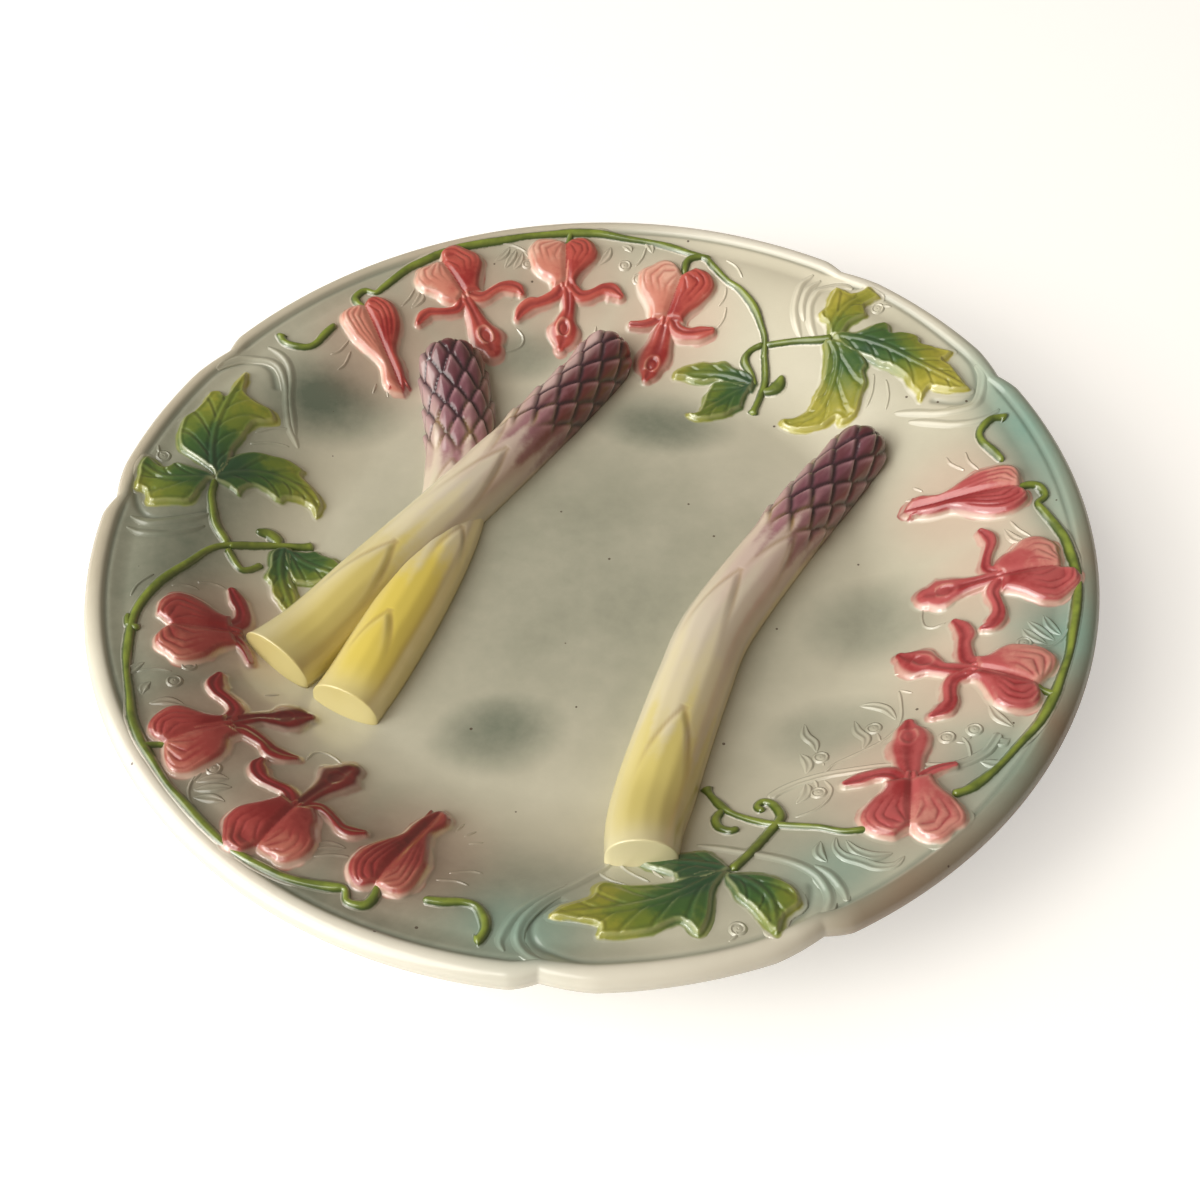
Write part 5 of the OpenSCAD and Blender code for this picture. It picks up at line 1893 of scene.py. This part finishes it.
@dataclass(frozen=True)
class Studio:
    """The floor, the lights and the camera."""

    eye: tuple[float, float, float] = (-33.31, -262.83, 312.16)
    target: tuple[float, float, float] = (-1.08, -22.97, 24.2)
    roll: float = 0.04114
    lens: float = 47.72
    key_power: float = 39.0
    window_power: float = 6.0
    ambient: Colour = (138, 126, 111)
    floor_size: float = 1.3
    floor_glow: float = 0.42
    sensor: float = 36.0

    def floor(self) -> None:
        """A pale floor that looks white to the camera and keeps the plate's shadow."""
        mesh = bpy.data.meshes.new("floor")
        size = self.floor_size
        mesh.from_pydata([(-size, -size, 0), (size, -size, 0), (size, size, 0), (-size, size, 0)], [],
                         [(0, 1, 2, 3)])
        piece = bpy.data.objects.new("floor", mesh)
        bpy.context.scene.collection.objects.link(piece)
        material = bpy.data.materials.new("pale_floor")
        material.use_nodes = True
        nodes, links = material.node_tree.nodes, material.node_tree.links
        matte = nodes["Principled BSDF"]
        matte.inputs["Base Color"].default_value = (0.8, 0.79, 0.77, 1.0)
        matte.inputs["Roughness"].default_value = 0.9
        matte.inputs["Specular IOR Level"].default_value = 0.1
        rays = nodes.new("ShaderNodeLightPath")
        matte.inputs["Emission Color"].default_value = (1.0, 1.0, 1.0, 1.0)
        level = nodes.new("ShaderNodeMath")
        level.operation = "MULTIPLY"
        level.inputs[1].default_value = self.floor_glow
        links.new(rays.outputs["Is Camera Ray"], level.inputs[0])
        links.new(level.outputs[0], matte.inputs["Emission Strength"])
        piece.data.materials.append(material)

    def world(self) -> None:
        """A white backdrop to the camera, and a dim warm fill to everything else."""
        world = bpy.data.worlds.new("studio")
        bpy.context.scene.world = world
        world.use_nodes = True
        nodes, links = world.node_tree.nodes, world.node_tree.links
        fill = nodes["Background"]
        fill.inputs["Color"].default_value = linear(*self.ambient)
        white = nodes.new("ShaderNodeBackground")
        white.inputs["Color"].default_value = (1.0, 1.0, 1.0, 1.0)
        rays = nodes.new("ShaderNodeLightPath")
        join = nodes.new("ShaderNodeMixShader")
        links.new(rays.outputs["Is Camera Ray"], join.inputs[0])
        links.new(fill.outputs[0], join.inputs[1])
        links.new(white.outputs[0], join.inputs[2])
        links.new(join.outputs[0], nodes["World Output"].inputs["Surface"])

    def lamp(self, name: str, place: tuple[float, float, float], size: float, power: float,
             colour: Colour) -> None:
        """A soft square lamp that faces the plate.

        Args:
            name: The lamp's name.
            place: Where it stands, in metres.
            size: Its width.
            power: Its power in watts.
            colour: Its colour.
        """
        data = bpy.data.lights.new(name, "AREA")
        data.size, data.energy = size, power
        data.color = linear(*colour)[:3]
        lamp = bpy.data.objects.new(name, data)
        lamp.location = place
        lamp.rotation_euler = (-Vector(place)).to_track_quat("-Z", "Y").to_euler()
        bpy.context.scene.collection.objects.link(lamp)

    def camera(self) -> None:
        """The camera, at the photograph's place and turn."""
        eye, target = Vector(self.eye), Vector(self.target)
        forward = (target - eye).normalized()
        right = forward.cross(Vector((0, 0, 1))).normalized()
        up = right.cross(forward)
        c = math.sqrt(1.0 - self.roll**2)
        x_axis, y_axis = c * right - self.roll * up, self.roll * right + c * up
        data = bpy.data.cameras.new("camera")
        data.lens, data.sensor_width, data.clip_start = self.lens, self.sensor, 0.01
        camera = bpy.data.objects.new("camera", data)
        turn = Matrix((x_axis, y_axis, -forward)).transposed().to_4x4()
        camera.matrix_world = Matrix.Translation(eye * MM) @ turn
        bpy.context.scene.collection.objects.link(camera)
        bpy.context.scene.camera = camera

    def build(self) -> None:
        """Sets up the whole studio."""
        bpy.context.scene.view_settings.view_transform = "Standard"
        self.floor()
        self.world()
        self.lamp("key", (-1.25, -0.26, 0.9), 2.1, self.key_power, (253, 251, 244))
        self.lamp("window", (-1.2, -0.36, 0.74), 0.5, self.window_power, (255, 252, 246))
        self.camera()


def main() -> None:
    """Builds the plate and the studio, and notes the sizes."""
    logging.basicConfig(level=logging.INFO, format="%(message)s")
    plate_r = round((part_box("plate_body")[1][0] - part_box("plate_body")[0][0]) / MM) / 2.0
    foot_h = round(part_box("foot_ring")[1][2] / MM, 2)
    plate = AsparagusPlate(Dish(plate_r, foot_h))
    plate.build()
    Studio().build()
    LOG.info("%d pieces", len(plate.pieces))


if __name__ == "__main__":
    main()
